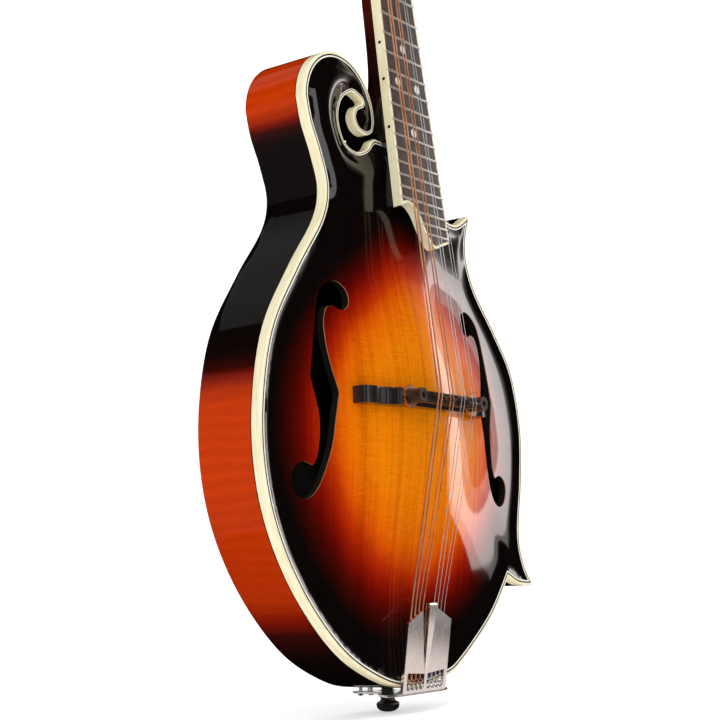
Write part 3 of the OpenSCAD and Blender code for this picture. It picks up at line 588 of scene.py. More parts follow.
def maple(name, stops, flame_scale, use_along):
    m = Nodes(name)
    burst = m.attribute("burst")
    drift = m.noise((18, 18, 18), detail=3)
    burst = m.math("ADD", burst, m.math("MULTIPLY", m.math("SUBTRACT", drift), 0.10))
    if use_along:
        along = m.math("MULTIPLY", m.attribute("along"), flame_scale)
    else:
        split = m.add("SeparateXYZ", Vector=m.place())
        tilt = m.math("MULTIPLY", m.math("ABSOLUTE", split.outputs["X"]), -0.22)
        along = m.math("MULTIPLY", m.math("ADD", split.outputs["Z"], tilt), flame_scale)
    flame = flamed(m, along)
    fibre_scale = (60, 12, 60) if use_along else (900, 900, 14)
    fibre = m.noise(fibre_scale, scale=12 if use_along else 1, detail=4)
    colour = m.ramp(burst, stops)
    shade = m.ramp(flame, [(0.1, (0.78, 0.66, 0.60)), (0.5, (1.06, 1.10, 1.10))])
    colour = m.multiply(0.32, colour, shade)
    shade = m.ramp(fibre, [(0.3, (0.84, 0.80, 0.76)), (0.6, (1, 1, 1))])
    m.link(m.multiply(0.6, colour, shade))
    lacquer(m, 0.38, 0.04)
    m.bump(fibre, 0.03, 0.0002)
    return m.material


def plain_wood(name, grain_scale, detail, rough_grain, dark, light, roughness, bump):
    """Unlacquered wood. The bump is its strength and its distance in metres."""
    m = Nodes(name)
    grain = m.noise(grain_scale, detail=detail, roughness=rough_grain)
    m.link(m.ramp(grain, [(0.3, dark), (0.7, light)]))
    m.set(Roughness=roughness)
    m.bump(grain, *bump)
    return m.material


def stained_neck():
    """Dark gloss neck, redder up the shaft and black at the heel and headstock."""
    m = Nodes("neck_lacquer")
    split = m.add("SeparateXYZ", Vector=m.place())
    low = m.math("MULTIPLY", m.math("SUBTRACT", split.outputs["Z"], 0.318), 6.5)
    fibre = m.noise((500, 500, 12), detail=4)
    flame = m.noise((12, 12, 150), detail=2)
    tone = m.math("ADD", low, m.math("MULTIPLY", fibre, 0.12))
    colour = m.ramp(tone, NECK_BURST)
    shade = m.ramp(flame, [(0.35, (0.7, 0.62, 0.6)), (0.6, (1, 1, 1))])
    m.link(m.multiply(0.7, colour, shade))
    lacquer(m, 0.4, 0.05)
    m.bump(fibre, 0.03, 0.0002)
    return m.material


def ebony(name, roughness, dark, light, coat=0.0):
    m = Nodes(name)
    streak = m.noise((420, 420, 22), detail=6, roughness=0.65)
    pores = m.noise((1500, 1500, 90), detail=3)
    tone = m.weigh((streak, 0.7), (pores, 0.3))
    m.link(m.ramp(tone, [(0.36, dark), (0.64, light)]))
    m.set(Roughness=roughness, Coat_Weight=coat, Coat_Roughness=0.12)
    m.bump(pores, 0.25, 0.0002)
    return m.material


def celluloid(name, base, deep, roughness=0.25):
    """Ivory-coloured plastic with long, faint layers."""
    m = Nodes(name)
    layer = m.noise((120, 700, 40), detail=4, distortion=0.4)
    speck = m.noise((900, 900, 900), detail=2)
    m.link(m.ramp(layer, [(0.32, deep), (0.66, base)]))
    m.set(Roughness=roughness, Coat_Weight=0.6, Coat_Roughness=0.05, Subsurface_Weight=0.08,
          Subsurface_Radius=(0.002, 0.0015, 0.001))
    m.bump(speck, 0.06, 0.0001)
    return m.material


def pearl():
    m = Nodes("pearl")
    cloud = m.noise((260, 260, 260), detail=3, distortion=2.5)
    fine = m.noise((700, 700, 180), detail=4, distortion=1.0)
    tone = m.weigh((cloud, 0.7), (fine, 0.3))
    m.link(m.ramp(tone, stops((0.3, 190, 196, 192), (0.45, 236, 228, 216),
                              (0.58, 214, 228, 226), (0.7, 250, 246, 238))))
    m.set(Roughness=0.16, Coat_Weight=1.0, Coat_Roughness=0.04)
    m.bump(cloud, 0.05, 0.0003)
    return m.material


def metal(name, colour, roughness, wear=0.25):
    m = Nodes(name)
    smear = m.noise((40, 40, 40), detail=5)
    brush = m.noise((300, 300, 300), scale=2.0, detail=4)
    dim = tuple(c * (1 - wear) for c in colour)
    m.link(m.ramp(smear, [(0.35, dim), (0.6, colour)]))
    m.link(m.math("MULTIPLY", m.math("ADD", brush, 0.5), roughness), "Roughness")
    m.set(Metallic=1.0)
    m.bump(brush, 0.05, 0.00008)
    return m.material


WRAP = 0.00032


def wound_metal():
    """Bronze wrap on a steel core: fine turns across the string, a turn every WRAP metres."""
    m = Nodes("wound_bronze")
    split = m.add("SeparateXYZ", Vector=m.place())
    turn = m.math("SINE", m.math("MULTIPLY", split.outputs["Z"], 2 * math.pi / WRAP))
    smear = m.noise((60, 60, 60), detail=3)
    m.link(m.ramp(smear, stops((0.3, 196, 132, 96), (0.7, 236, 182, 144))))
    m.set(Metallic=1.0, Roughness=0.46)
    m.bump(turn, 0.5, 0.00006)
    return m.material


def black_plastic():
    m = Nodes("black_plastic")
    dust = m.noise((400, 400, 400), detail=5)
    m.link(m.ramp(dust, stops((0.4, 14, 13, 13), (0.75, 26, 24, 24))))
    m.set(Roughness=0.18, Coat_Weight=0.8, Coat_Roughness=0.06)
    m.bump(dust, 0.03, 0.0001)
    return m.material


def hole_edge(name, colour, roughness):
    dim = tuple(c * 0.7 for c in colour)
    return plain_wood(name, (700, 700, 60), 4, 0.5, dim, colour, roughness, (0.2, 0.0002))


mat_top = top_wood()
mat_side = maple("maple_side", SIDE_BURST, 900, True)
mat_back = maple("maple_back", SIDE_BURST, 800, False)
mat_neck = stained_neck()
mat_inside = plain_wood("bare_wood", (500, 60, 14), 5, 0.6, srgb(120, 84, 50), srgb(168, 126, 80),
                        0.7, (0.15, 0.0003))
# Near-black for the walls under the raw band, and painted shade on the inner faces of the plates and sides,
# which are bare wood inside the body
mat_dark_walls_and_painted_shade = hole_edge("dark_inside", srgb(26, 16, 12), 0.6)
mat_raw_edge = hole_edge("raw_edge", srgb(196, 140, 92), 0.55)
mat_line = black_plastic()
# The fingerboard's ebony is lightened to grey-brown, a painted sheen over its own dark streaks
mat_board = ebony("fingerboard_ebony", 0.45, srgb(50, 42, 41), srgb(92, 80, 76))
mat_ebony = ebony("polished_ebony", 0.24, srgb(20, 17, 17), srgb(42, 37, 36), 0.5)
mat_saddle = ebony("saddle_ebony", 0.32, srgb(30, 22, 20), srgb(62, 48, 41))
mat_binding = celluloid("ivory_binding", srgb(246, 239, 208), srgb(234, 221, 178))
mat_white = celluloid("white_line", srgb(246, 244, 236), srgb(236, 232, 220))
mat_pearl = pearl()
mat_bone = celluloid("bone", srgb(238, 230, 208), srgb(222, 208, 176), 0.35)
mat_nickel = metal("nickel", (0.80, 0.77, 0.74), 0.14, wear=0.06)
mat_fret = metal("fret_metal", (0.72, 0.69, 0.62), 0.32, wear=0.1)
mat_steel = metal("steel", (0.66, 0.66, 0.68), 0.34, wear=0.1)
mat_brass = metal("brass", (0.80, 0.46, 0.26), 0.26)
mat_wound = wound_metal()
METALS = (mat_nickel, mat_fret, mat_steel, mat_brass, mat_wound)

# ---------------- carved plates
CELL = 2.6         # spacing of the triangles
RAW_BAND = 0.45    # height of the band of raw wood under the carved face


def fill(loops, extra=()):
    """Triangles that fill the first loop less the others, through any extra points."""
    links, start = [], 0
    for loop in loops:
        n = len(loop)
        links += [(start + i, start + (i + 1) % n) for i in range(n)]
        start += n
    flat = np.concatenate(loops + list(extra))
    found = geometry.delaunay_2d_cdt([Vector(p) for p in flat], links, [], 1, 1e-4)
    flat = points([tuple(p) for p in found[0]])
    faces = np.array(found[2])
    middle = flat[faces].mean(1)
    solid = inside(loops[0], middle)
    for loop in loops[1:]:
        solid &= ~inside(loop, middle)
    return flat, faces[solid]


def free_edges(faces):
    """Directed edges that only one triangle has."""
    edges = {(f[i], f[(i + 1) % 3]) for f in faces for i in range(3)}
    return [(a, b) for a, b in edges if (b, a) not in edges]


def plate(name, edge, holes, height, low, materials, replaces, flip=False):
    """Carved plate: its curved face, its inner face a constant way behind, and its walls.

    The height is out of the body; low is the w of the plate's own edge plane."""
    lo, hi = edge.min(0), edge.max(0)
    rows = np.arange(lo[1], hi[1], CELL * 0.866)
    grid = np.array([(x + (k % 2) * CELL / 2, y) for k, y in enumerate(rows)
                     for x in np.arange(lo[0], hi[0], CELL)])
    keep = inside(edge, grid) & (distance_to(edge, grid) > CELL * 0.45)
    for hole in holes:
        keep &= ~inside(hole, grid) & (distance_to(hole, grid) > CELL * 0.4)
    flat, faces = fill([edge] + holes, [grid[keep]])
    out = -1 if flip else 1
    h = height(flat)
    face = np.column_stack([flat, low + out * h])
    back = np.column_stack([flat, low + out * (h - PLATE_T)])
    n = len(flat)
    all_faces = [tuple(f) for f in faces] + [tuple(f[::-1] + n) for f in faces]
    which = [0] * len(faces) + [1] * len(faces)
    verts = [face, back]
    rim_edges = free_edges(faces)
    # Walls have a thin band of raw wood under the carved face, then near-black; the plate's inner face is
    # near-black too, painted shade for the inside of the body
    band = {a: 2 * n + i for i, a in enumerate(sorted({a for e in rim_edges for a in e}))}
    order = sorted(band, key=band.get)
    verts.append(face[order] - [0, 0, out * RAW_BAND])
    for a, b in rim_edges:
        all_faces += [(b, a, band[a], band[b]), (band[b], band[a], a + n, b + n)]
        which += [2, 1]
    verts = np.concatenate(verts)
    burst = sunburst(verts[:, :2])
    return add_piece(name, from_body(verts), all_faces, materials, replaces=replaces,
                     face_materials=which, values={"burst": burst})


# How far the back stops short of the outline, where the sides round over
BACK_ROUND = 1.2
line_edge = inset(outline, TRIM, trim_share)
plate("carved_top", line_edge, [bass_hole, treble_hole], top_height, 0,
      [mat_top, mat_dark_walls_and_painted_shade, mat_raw_edge], ["top_plate"])
plate("carved_back", inset(outline, BACK_ROUND), [], back_height, -BODY_D,
      [mat_back, mat_dark_walls_and_painted_shade, mat_back], ["back_plate"], flip=True)


# ---------------- sides and edge trim
def amber(p):
    """How dark the sides' stain is: 0 amber on the lower bout and scroll, 1 black between."""
    u, v = p[:, 0], p[:, 1]
    bout = smoothstep(-v, 126, 158) * (1 - smoothstep(-v, 244, 284))
    bout *= 1 - smoothstep(u, 94, 106) * smoothstep(-v, 222, 238)
    bout *= 1 - 0.26 * smoothstep(-v, 176, 246)
    from_centre = np.hypot(u - scroll_centre[0], v - scroll_centre[1])
    curl = smoothstep(v, -12, 12) * smoothstep(-u, 26, 60) * smoothstep(from_centre, 20, 28)
    return 1 - np.maximum(bout, curl)


def edge_band(name, profile, materials, replaces, which=None, share=1.0):
    """A closed band round the outline. The profile's rows are (distance in from the edge, w)."""
    rings = [np.column_stack([inset(outline, d, share), np.full(len(outline), w)])
             for d, w in profile]
    n = len(outline)
    faces = strip_faces(len(rings), n)
    end = (len(rings) - 1) * n
    faces += [(i, (i + 1) % n, end + (i + 1) % n, end + i) for i in range(n)]
    marks = np.repeat(which, n) if which else None
    steps = np.linalg.norm(np.diff(outline, axis=0), axis=1)
    along = np.concatenate([[0], np.cumsum(steps)]) * MM
    verts = np.concatenate(rings)
    values = {"burst": amber(verts[:, :2]), "along": np.tile(along, len(rings))}
    return add_piece(name, from_body(verts), faces, materials, replaces=replaces,
                     face_materials=marks, values=values)


SIDE_T = 2
LINE_H = 0.6        # black line under the binding, on the sides
LINE_D = 2          # depth of the two lines let into the top
side_low = -BODY_D
edge_band("bent_sides",
          [(0, -PLATE_EDGE), (0, -PLATE_EDGE - LINE_H), (0, -14), (0, -24), (0, -34),
           (0, side_low + 1.4), (0.35, side_low + 0.5), (BACK_ROUND, side_low), (SIDE_T, side_low + 2),
           (SIDE_T, -24), (SIDE_T, -PLATE_EDGE)],
          # The sides' inner faces take the near-black painted shade of the body's inside
          [mat_side, mat_line, mat_dark_walls_and_painted_shade], ["rim"],
          which=[1, 0, 0, 0, 0, 0, 0, 2, 2, 2, 2])
edge_band("edge_binding",
          [(0, -PLATE_EDGE), (0, -0.9), (0.12, -0.4), (0.4, -0.1), (0.9, 0), (BINDING_TOP, 0),
           (BINDING_TOP, -PLATE_EDGE)],
          [mat_binding], ["top_binding"], share=trim_share)
edge_band("binding_black_line",
          [(BINDING_TOP, -LINE_D), (BINDING_TOP, 0), (BLACK_LINE, 0), (BLACK_LINE, -LINE_D)],
          [mat_line], [], share=trim_share)
edge_band("binding_white_line",
          [(BLACK_LINE, -LINE_D), (BLACK_LINE, 0), (TRIM, 0), (TRIM, -LINE_D)],
          [mat_white], [], share=trim_share)

# ---------------- neck and headstock
BOARD_T = 5.5
NUT_W = 28.4
# Distance up the neck, half width, depth, and the two powers that square the section
shaft_rows = [[-4, 17, 46.6, 1.15, 0.6], [5, 17.4, 45, 1.15, 0.6], [13, 18, 36, 1.1, 0.65],
              [22, 18.4, 25, 1, 0.75], [32, 18.3, 18.5, 1, 0.85], [48, 17.8, 15.5, 1, 0.9],
              [80, 17, 14.4, 1, 0.95], [130, 16, 13.6, 1, 0.95], [180, 14.9, 13, 1, 0.9],
              [NUT_Y, 14.4, 13.4, 1, 0.8], [NUT_Y + 8, 14.6, 17, 1, 0.7],
              [NUT_Y + 20, 13, 17.2, 1, 0.6]]


def shaft_ring(row, count=40):
    y, w, d, e, k = row
    a = np.radians(np.linspace(0, 180, count + 1))
    x = w * np.sign(np.cos(a)) * np.abs(np.cos(a)) ** e
    z = -BOARD_T - d * np.sin(a) ** k
    foot = -(z + BOARD_RISE) * math.tan(NECK_PITCH)
    return np.stack([x, np.maximum(y, foot), z], -1)


shaft_curve = open_curve(shaft_rows, 3, last=True)
verts, faces = loft([shaft_ring(row) for row in shaft_curve])
add_piece("neck_shaft", from_neck(verts), faces, [mat_neck], replaces=["neck"])

head_bass = [[-14, -1.5], [-17, 4], [-28, 13], [-33, 24], [-33.5, 42], [-31.5, 70], [-33, 98],
             [-38, 116], [-35, 130], [-25, 134.5]]
head_crown = [[-25, 134.5], [-17, 130], [-11, 131.5], [-5, 145], [4, 160], [18, 169], [33, 165],
              [39.5, 150], [37, 124], [33, 98], [31.5, 70], [33.5, 42], [33, 24], [28, 13],
              [17, 4], [14, -1.5]]
head_outline = np.concatenate([open_curve(head_bass), open_curve(head_crown, last=True)])
HEAD_T = 14
VENEER_T = 1.8
HEAD_EDGE = 1.6     # width of the binding
CORE_GAP = 0.02     # how far the core runs into it
verts, faces = extrude(inset(head_outline, HEAD_EDGE - CORE_GAP), 2, (-HEAD_T, -VENEER_T))
add_bevel(add_piece("headstock_core", from_head(verts), faces, [mat_neck]), 0.5)

# Raised rest between the body and the board's free end
REST_L = 38
REST_HALF = 15
rest_low = (BOARD_RISE - BOARD_T) * math.cos(NECK_PITCH)
rest_high = rest_low + (REST_L + 0.5) * math.tan(NECK_PITCH)
rest_side = [[0.5, -1], [0.5, rest_low], [-REST_L, rest_high], [-REST_L - 1, 1], [-15, -1]]
verts, faces = extrude(rest_side, 0, (-REST_HALF, REST_HALF))
add_bevel(add_piece("board_rest", from_body(verts), faces, [mat_line]), 0.8, 3)

refine("headstock_veneer", mat_ebony, 0.1)
refine("headstock_binding", mat_binding, 0.35, 3)
refine("nut", mat_bone, 0.3, 3)
refine("truss_rod_cover", mat_line, 0.3)
refine("fingerboard", mat_board, 0)
refine("fingerboard_binding", mat_binding, 0.45, 4)
refine("position_dots", mat_pearl, 0.08)
refine("side_dots", mat_line, 0.05)

# ---------------- frets
FRET_COUNT = 23
FULL_FRETS = 20
BOARD_HALF_END = 21.7
FRET_R = 0.85
FRET_H = 0.9
# Where the short frets of the board's tongue begin
partial_left = {21: -7.5, 22: -3.5, 23: -0.5}


def fret_y(n):
    return NUT_Y - SCALE * (1 - 2 ** (-n / 12))


def board_half(y):
    return NUT_W / 2 + (BOARD_HALF_END - NUT_W / 2) * (NUT_Y - y) / (NUT_Y - fret_y(FULL_FRETS))


def fret(n):
    """One crown: a half-round bar whose ends are rounded down to the binding."""
    y = fret_y(n)
    right = board_half(y) - 0.15
    left = partial_left.get(n, -right)
    a = np.radians(np.linspace(0, 180, 13))
    ends = ((0, 0.35), (0.15, 0.62), (0.5, 0.88), (1.1, 1))
    rings = [(left + into, size) for into, size in ends]
    rings += [(right - into, size) for into, size in reversed(ends)]
    sections = []
    for x, size in rings:
        across = y + FRET_R * size * np.cos(a)
        arch = np.stack([np.full(13, x), across, FRET_H * size * np.sin(a)], -1)
        sections.append(np.concatenate([arch, [[x, y, -0.3]]]))
    return loft(sections)


verts, faces = merge([fret(n) for n in range(1, FRET_COUNT + 1)])
add_piece("fret_crowns", from_neck(verts), faces, [mat_fret], replaces=["frets"],
          sharp=60)

# ---------------- bridge
# Middle of the saddle's crest: a little behind the string length, and over the board's plane
SADDLE_BACK = 1.7
SADDLE_H = 5.1
saddle_point = neck_to_body([0, -BRIDGE_Y - SADDLE_BACK, SADDLE_H])
BRIDGE_V = saddle_point[1]
CREST = saddle_point[2]
BASE_HALF = 60
FOOT_GAP = 0.02     # clearance of the base over the top
BASE_T = 9
BASE_TOP = TOP_ARCH + 5.5
bridge_over = np.concatenate([
    open_curve([[-60, 12.4], [-59.6, 14.2], [-57.5, 15.5], [-53, 16.6], [-49, 16.3], [-46, 15]], 0.5),
    open_curve([[-46, 15], [-44.4, 17.2], [-42, 18.2], [-39.5, 18], [-38.6, 17.4]], 0.5),
    open_curve([[-38.6, 17.4], [-38, 20.4], [-36.5, BASE_TOP]], 0.5, last=True)])
bridge_over = np.concatenate([bridge_over, bridge_over[::-1] * [-1, 1]])
under_u = np.linspace(BASE_HALF, -BASE_HALF, 49)
under_w = TOP_ARCH * bell(np.abs(under_u) / CHAMBER_HALF) + FOOT_GAP
bridge_side = np.concatenate([bridge_over, np.column_stack([under_u, under_w])])
verts, faces = extrude(bridge_side, 1, (BRIDGE_V - BASE_T / 2, BRIDGE_V + BASE_T / 2))
add_bevel(add_piece("bridge_foot", from_body(verts), faces, [mat_ebony], replaces=["bridge_base"]), 0.7, 3, 50)
refine("bridge_saddle", mat_saddle, 0.6, 3)
refine("bridge_posts", mat_brass, 0.2)
for end in ("bass", "treble"):
    refine("thumbwheel_" + end, mat_brass, 0.2)

# ---------------- tailpiece and end pin
TAIL_HALF = 20.5
TAIL_W_END = 2.6
TAIL_SLOPE = math.atan2(6, 38.5)
TAIL_METAL = 1.8
RIB_TOP = 46


def from_tail(p):
    """Tailpiece frame: x across, y up its slope from the tail, z out of its face."""
    return from_body(tilted(p, -TAIL_SLOPE, TAIL_V, TAIL_W_END))


def slab(loop, low, high, holes=()):
    """Flat plate with straight-sided windows."""
    flat, faces = fill([points(loop)] + [points(h) for h in holes])
    n = len(flat)
    verts = np.concatenate([np.column_stack([flat, np.full(n, h)]) for h in (low, high)])
    walls = [(b, a, a + n, b + n) for a, b in free_edges(faces)]
    return verts, [tuple(f[::-1]) for f in faces] + [tuple(f + n) for f in faces] + walls


window = points([[1.2, 1.2], [17.6, 1.2], [17.6, 9.6], [1.2, 8.4]])
wing_outline = [[-TAIL_HALF, -1.2], [TAIL_HALF, -1.2], [TAIL_HALF, 36.6], [4.6, 43.6], [-3.6, 44],
                [-3.4, 44.1], [-2.6, 12], [-8, 42.4], [-TAIL_HALF, 36]]
face = slab(wing_outline, 0, TAIL_METAL, [window, window[::-1] * [-1, 1]])
# The rib between the wings: distance up, half width, height over the wings
rib_rows = [(9.5, 2.2, 0.05), (11, 2.3, 0.15), (RIB_TOP - 3, 4.1, 1.3), (RIB_TOP - 0.8, 4.3, 1.3),
            (RIB_TOP, 4.2, 0.7)]
rib_rings = [[[-half + 0.5, y, 0.5], [-half + 0.6, y, TAIL_METAL + rise],
              [half - 0.9, y, TAIL_METAL + rise], [half + 0.6, y, 0.5]]
             for y, half, rise in rib_rows]
rib = loft([points(r) for r in rib_rings])
lip = loft([points([[x, 0.9, 0.2], [x, -1.2, 0.2], [x, -2.0, -1.6], [x, -0.6, -1.6]])
            for x in (-TAIL_HALF, TAIL_HALF)])
verts, faces = merge([face, rib, lip])
add_bevel(add_piece("tailpiece_cover", from_tail(verts), faces, [mat_nickel], replaces=["tailpiece"]), 0.25, 3)

# Plate folded down over the tail, with the hooks that hold the strings
bracket = [[-29, 0], [-TAIL_HALF, 3], [TAIL_HALF, 3], [29, 0], [24, -8], [11, -19], [8.5, -27],
           [7.5, -38], [-7.5, -38], [-8.5, -27], [-11, -19], [-24, -8]]
pin_hole = arc((0, -20), 4.6, 0, 350, 0.8)
verts, faces = slab(bracket, 0, 1.4, [pin_hole])
verts = np.stack([verts[:, 0], TAIL_V - 1.2 - verts[:, 2], verts[:, 1]], -1)
add_bevel(add_piece("tailpiece_bracket", from_body(verts), faces, [mat_nickel]), 0.3, 2)
hook_x = [-15.5, -11.5, -7.5, -3.5, 3.5, 7.5, 11.5, 15.5]
hook_shapes = []
loop_shapes = []
bend = np.linspace(0, math.pi, 9)
ring = np.linspace(0, 2 * math.pi, 25)
twist = np.linspace(0, 1, 40)
for x in hook_x:
    curl = [[x, 2.0 + 1.1 * math.sin(a), 1.1 - 1.1 * math.cos(a)] for a in bend]
    hook_shapes.append(tube([[x, -1, 0.1]] + curl + [[x, 0.4, 2.3]], 0.55, 10))
    path = [[x + 1.25 * math.sin(a), 4.2 + 1.7 * math.cos(a), 0.9 + 0.25 * math.sin(a)] for a in ring]
    loop_shapes.append(tube(path, 0.28, 8))
    for phase in (0, math.pi):
        turned = 40 * twist + phase
        path = np.stack([x + 0.42 * np.cos(turned), 5.8 + 9 * twist, 0.2 + 0.42 * np.sin(turned)], -1)
        loop_shapes.append(tube(path, 0.3, 6))
verts, faces = merge(hook_shapes)
add_piece("string_hooks", from_tail(verts), faces, [mat_nickel], sharp=60)
# Three tubes to a string: its loop, and the two wires of its twist
for name, shapes, material, slot in (
        ("wound_string_loops", loop_shapes[:12], mat_wound, "wound_bronze"),
        ("plain_string_loops", loop_shapes[12:], mat_steel, "steel")):
    verts, faces = merge(shapes)
    add_piece(name, from_tail(verts), faces, [material], sharp=60)
refine("tailpiece_screws", mat_nickel, 0.15)
# The turned end pin: radius, and distance down from PIN_DROP over the head's middle
PIN_DROP = 8.5
pin_profile = [[0.01, 12.4], [2.2, 12.3], [3.9, 11.9], [5.3, 11.0], [6.1, 9.9], [6.3, 8.6], [6.1, 7.6],
               [5.3, 7.1], [4.5, 6.7], [4.0, 6.1], [3.8, 5.4], [4.0, 4.7], [4.8, 4.2], [5.2, 3.6],
               [5.2, 3.0], [4.9, 2.7], [3.4, 2.7], [3.3, -19], [0.01, -19]]
verts, faces = loft(lathe([(r, PIN_DROP - z) for r, z in pin_profile]))
add_piece("turned_pin", verts, faces, [mat_ebony], replaces=["end_pin"], sharp=50)

# ---------------- tuners
POST_X = 17.5
POST_Y0 = 30
POST_PITCH = 23
POST_R = 3
for side in ("bass", "treble"):
    refine("tuner_plate_" + side, mat_nickel, 0.2)
for node in ("cover_screws", "plate_screws", "post_bushings"):
    refine(node, mat_nickel, 0.12)
# Height of the shafts, behind the headstock, and their offset from the posts
GEAR_DROP = 4.2     # from the tuner plate to the far face of the gears
GEAR_H = 2.4
PLATE_THICK = 1.2
GEAR_MID = -HEAD_T - PLATE_THICK - GEAR_DROP + GEAR_H / 2
WORM_OFF = 6.65
BUTTON_X = 20.5


def button_shape():
    """Flattened oval button on a short collar, about the shaft's own x axis."""
    rows = []
    for t in np.linspace(0, 1, 15):
        x = 3.0 + 13.5 * t
        wide = 7.9 * math.sqrt(max(0.02, 1 - ((t - 0.52) / 0.52) ** 2)) ** 0.8
        thick = 3.1 * (1 - 0.25 * (1 - t)) * max(0.25, 1 - abs(2 * t - 1) ** 5) ** 0.5
        rows.append((x, max(wide, 2.6), thick))
    rows = [(0, 2.6, 2.6), (2.6, 2.6, 2.6)] + rows + [(16.7, 1.6, 0.8)]
    a = np.linspace(0, 2 * math.pi, 32, endpoint=False)
    rings = []
    for x, wide, thick in rows:
        c, s = np.cos(a), np.sin(a)
        rings.append(np.stack([np.full(32, x), thick * np.sign(s) * np.abs(s) ** 0.8,
                               wide * np.sign(c) * np.abs(c) ** 0.8], -1))
    return loft(rings)


def tuner_place(k):
    """Side (-1 bass, 1 treble) and distance up the headstock of a tuning post."""
    return (-1 if k <= 4 else 1), POST_Y0 + POST_PITCH * ((k - 1) % 4)


for k in range(1, 9):
    side, y = tuner_place(k)
    verts, faces = button_shape()
    verts = verts + [POST_X + BUTTON_X, y + WORM_OFF, GEAR_MID]
    verts = verts * [side, 1, 1]
    add_piece(f"pearl_button_{k}", from_head(verts), faces, [mat_pearl], body=f"knob_{k}",
              replaces=[f"button_{k}"], sharp=50)
    refine(f"worm_{k}", mat_nickel, 0)
    refine(f"post_{k}", mat_nickel, 0.15)

# ---------------- strings
string_r = [0.5, 0.5, 0.36, 0.36, 0.21, 0.21, 0.15, 0.15]
nut_x = [-11.7, -9.5, -4.6, -2.4, 2.4, 4.6, 9.5, 11.7]
saddle_x = [c * 11.6 + s * 1.6 for c in (-1.5, -0.5, 0.5, 1.5) for s in (-1, 1)]
saddle_step = [1.2, 1.2, -0.6, -0.6, 0.9, 0.9, -1.2, -1.2]
tail_x = [-16, -12.5, -9, -5.2, 5.2, 9, 12.5, 16]
string_post = [1, 2, 3, 4, 8, 7, 6, 5]
NUT_TOP = 1.6
WIND_Z = 4.6        # where a string leaves its post
WIND_TURNS = 3.2
CREST_GAP = 0.12    # clearance of a string over the saddle
TAIL_END_V = -254
TAIL_END_W = 9.5


def string_path(s):
    """Points of one string, from its post over nut and saddle to its hook."""
    r = string_r[s]
    side, y = tuner_place(string_post[s])
    head = from_head([side * (POST_X - POST_R - r), y, WIND_Z])
    front = [from_neck([nut_x[s], y, NUT_TOP + r]) for y in (NUT_Y + NUT_T - 0.2, NUT_Y)]
    tail = [from_body([saddle_x[s], BRIDGE_V + saddle_step[s], CREST + r + CREST_GAP]),
            from_body([tail_x[s], TAIL_END_V, TAIL_END_W]),
            from_body([tail_x[s], TAIL_END_V - 12, 7.4]),
            from_body([hook_x[s], TAIL_V + 14, 4.4])]
    return np.array([head] + front + tail)


def dense(path, step=6):
    out = []
    for a, b in zip(path[:-1], path[1:]):
        count = max(1, math.ceil(np.linalg.norm(b - a) / step))
        out += [a + (b - a) * k / count for k in range(count)]
    out.append(path[-1])
    return np.array(out)


def coil(s):
    """The turns of a string round its post, downwards to where the string leaves."""
    r = string_r[s]
    side, y = tuner_place(string_post[s])
    a = np.linspace(0, 2 * math.pi * WIND_TURNS, int(28 * WIND_TURNS))
    start = math.pi if side > 0 else 0
    around = POST_R + r
    turned = start + side * a
    return np.stack([side * POST_X + around * np.cos(turned), y + around * np.sin(turned),
                     WIND_Z + 2.1 * r * a / (2 * math.pi)], -1)


nut_point = from_neck([0, NUT_Y, NUT_TOP])
tail_point = from_body([0, TAIL_END_V, TAIL_END_W])
for name, chosen, material, slot in (("wound_strings", range(4), mat_wound, "wound_bronze"),
                                     ("plain_strings", range(4, 8), mat_steel, "steel")):
    # Each string is in two lengths that meet on the saddle
    for length, first, last, far, shown in (("_round", 0, 4, nut_point, [name]),
                                            ("_tail", 3, 7, tail_point, [])):
        verts, faces = merge([tube(dense(string_path(s)[first:last]), string_r[s], 12)
                              for s in chosen])
        piece = add_piece(name + length, verts, faces, [material], body=None, replaces=shown,
                          sharp=60)
        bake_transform(piece)
    for s in chosen:
        verts, faces = tube(coil(s), string_r[s], 8)
        add_piece(f"string_coil_{string_post[s]}", from_head(verts), faces, [material],
                  body=f"string_post_{string_post[s]}", sharp=60)

# ---------------- hidden parts
for node, material in (("linings", mat_inside), ("head_block", mat_inside), ("tail_block", mat_inside),
                       ("point_blocks", mat_inside), ("tone_bars", mat_inside),
                       ("truss_rod", mat_steel), ("truss_rod_nut", mat_brass)):
    slots = frame["nodes"][node].data.materials
    slots.clear()
    slots.append(material)

# ---------------- floor, light and camera
CAMERA_AT = Vector((-0.6566, -0.4654, 0.0667))
CAMERA_TO = Vector((0.8001, 0.5805, 0.1509))
CAMERA_UP = Vector((-0.1023, -0.1159, 0.988))
FLOOR_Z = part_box("end_pin")[0].z


def backdrop():
    """Pale floor that sweeps up behind the object."""
    flat, r = 1.4, 0.9
    profile = [(-2.5, 0), (flat, 0)]
    profile += [(flat + r * math.sin(t), r - r * math.cos(t))
                for t in np.linspace(0.05, math.pi / 2, 20)]
    profile.append((flat + r, 4.5))
    away = Vector((CAMERA_TO.x, CAMERA_TO.y, 0)).normalized()
    across = Vector((away.y, -away.x, 0))
    rows = []
    for side in (-5, 5):
        rows.append([away * d + across * side + Vector((0, 0, FLOOR_Z + z)) for d, z in profile])
    mesh = bpy.data.meshes.new("backdrop")
    n = len(profile)
    faces = [(i, i + 1, n + i + 1, n + i) for i in range(n - 1)]
    mesh.from_pydata([tuple(p) for row in rows for p in row], [], faces)
    for f in mesh.polygons:
        f.use_smooth = True
    m = Nodes("pale_paper")
    fine = m.noise((60, 60, 60), detail=2)
    m.link(m.ramp(fine, [(0.3, (0.90, 0.90, 0.90)), (0.7, (0.93, 0.93, 0.93))]))
    m.set(Roughness=0.9, Emission_Color=(1, 1, 1, 1), Emission_Strength=0.45)
    mesh.materials.append(m.material)
    sweep = place_object("backdrop", mesh)
    sweep.visible_glossy = False


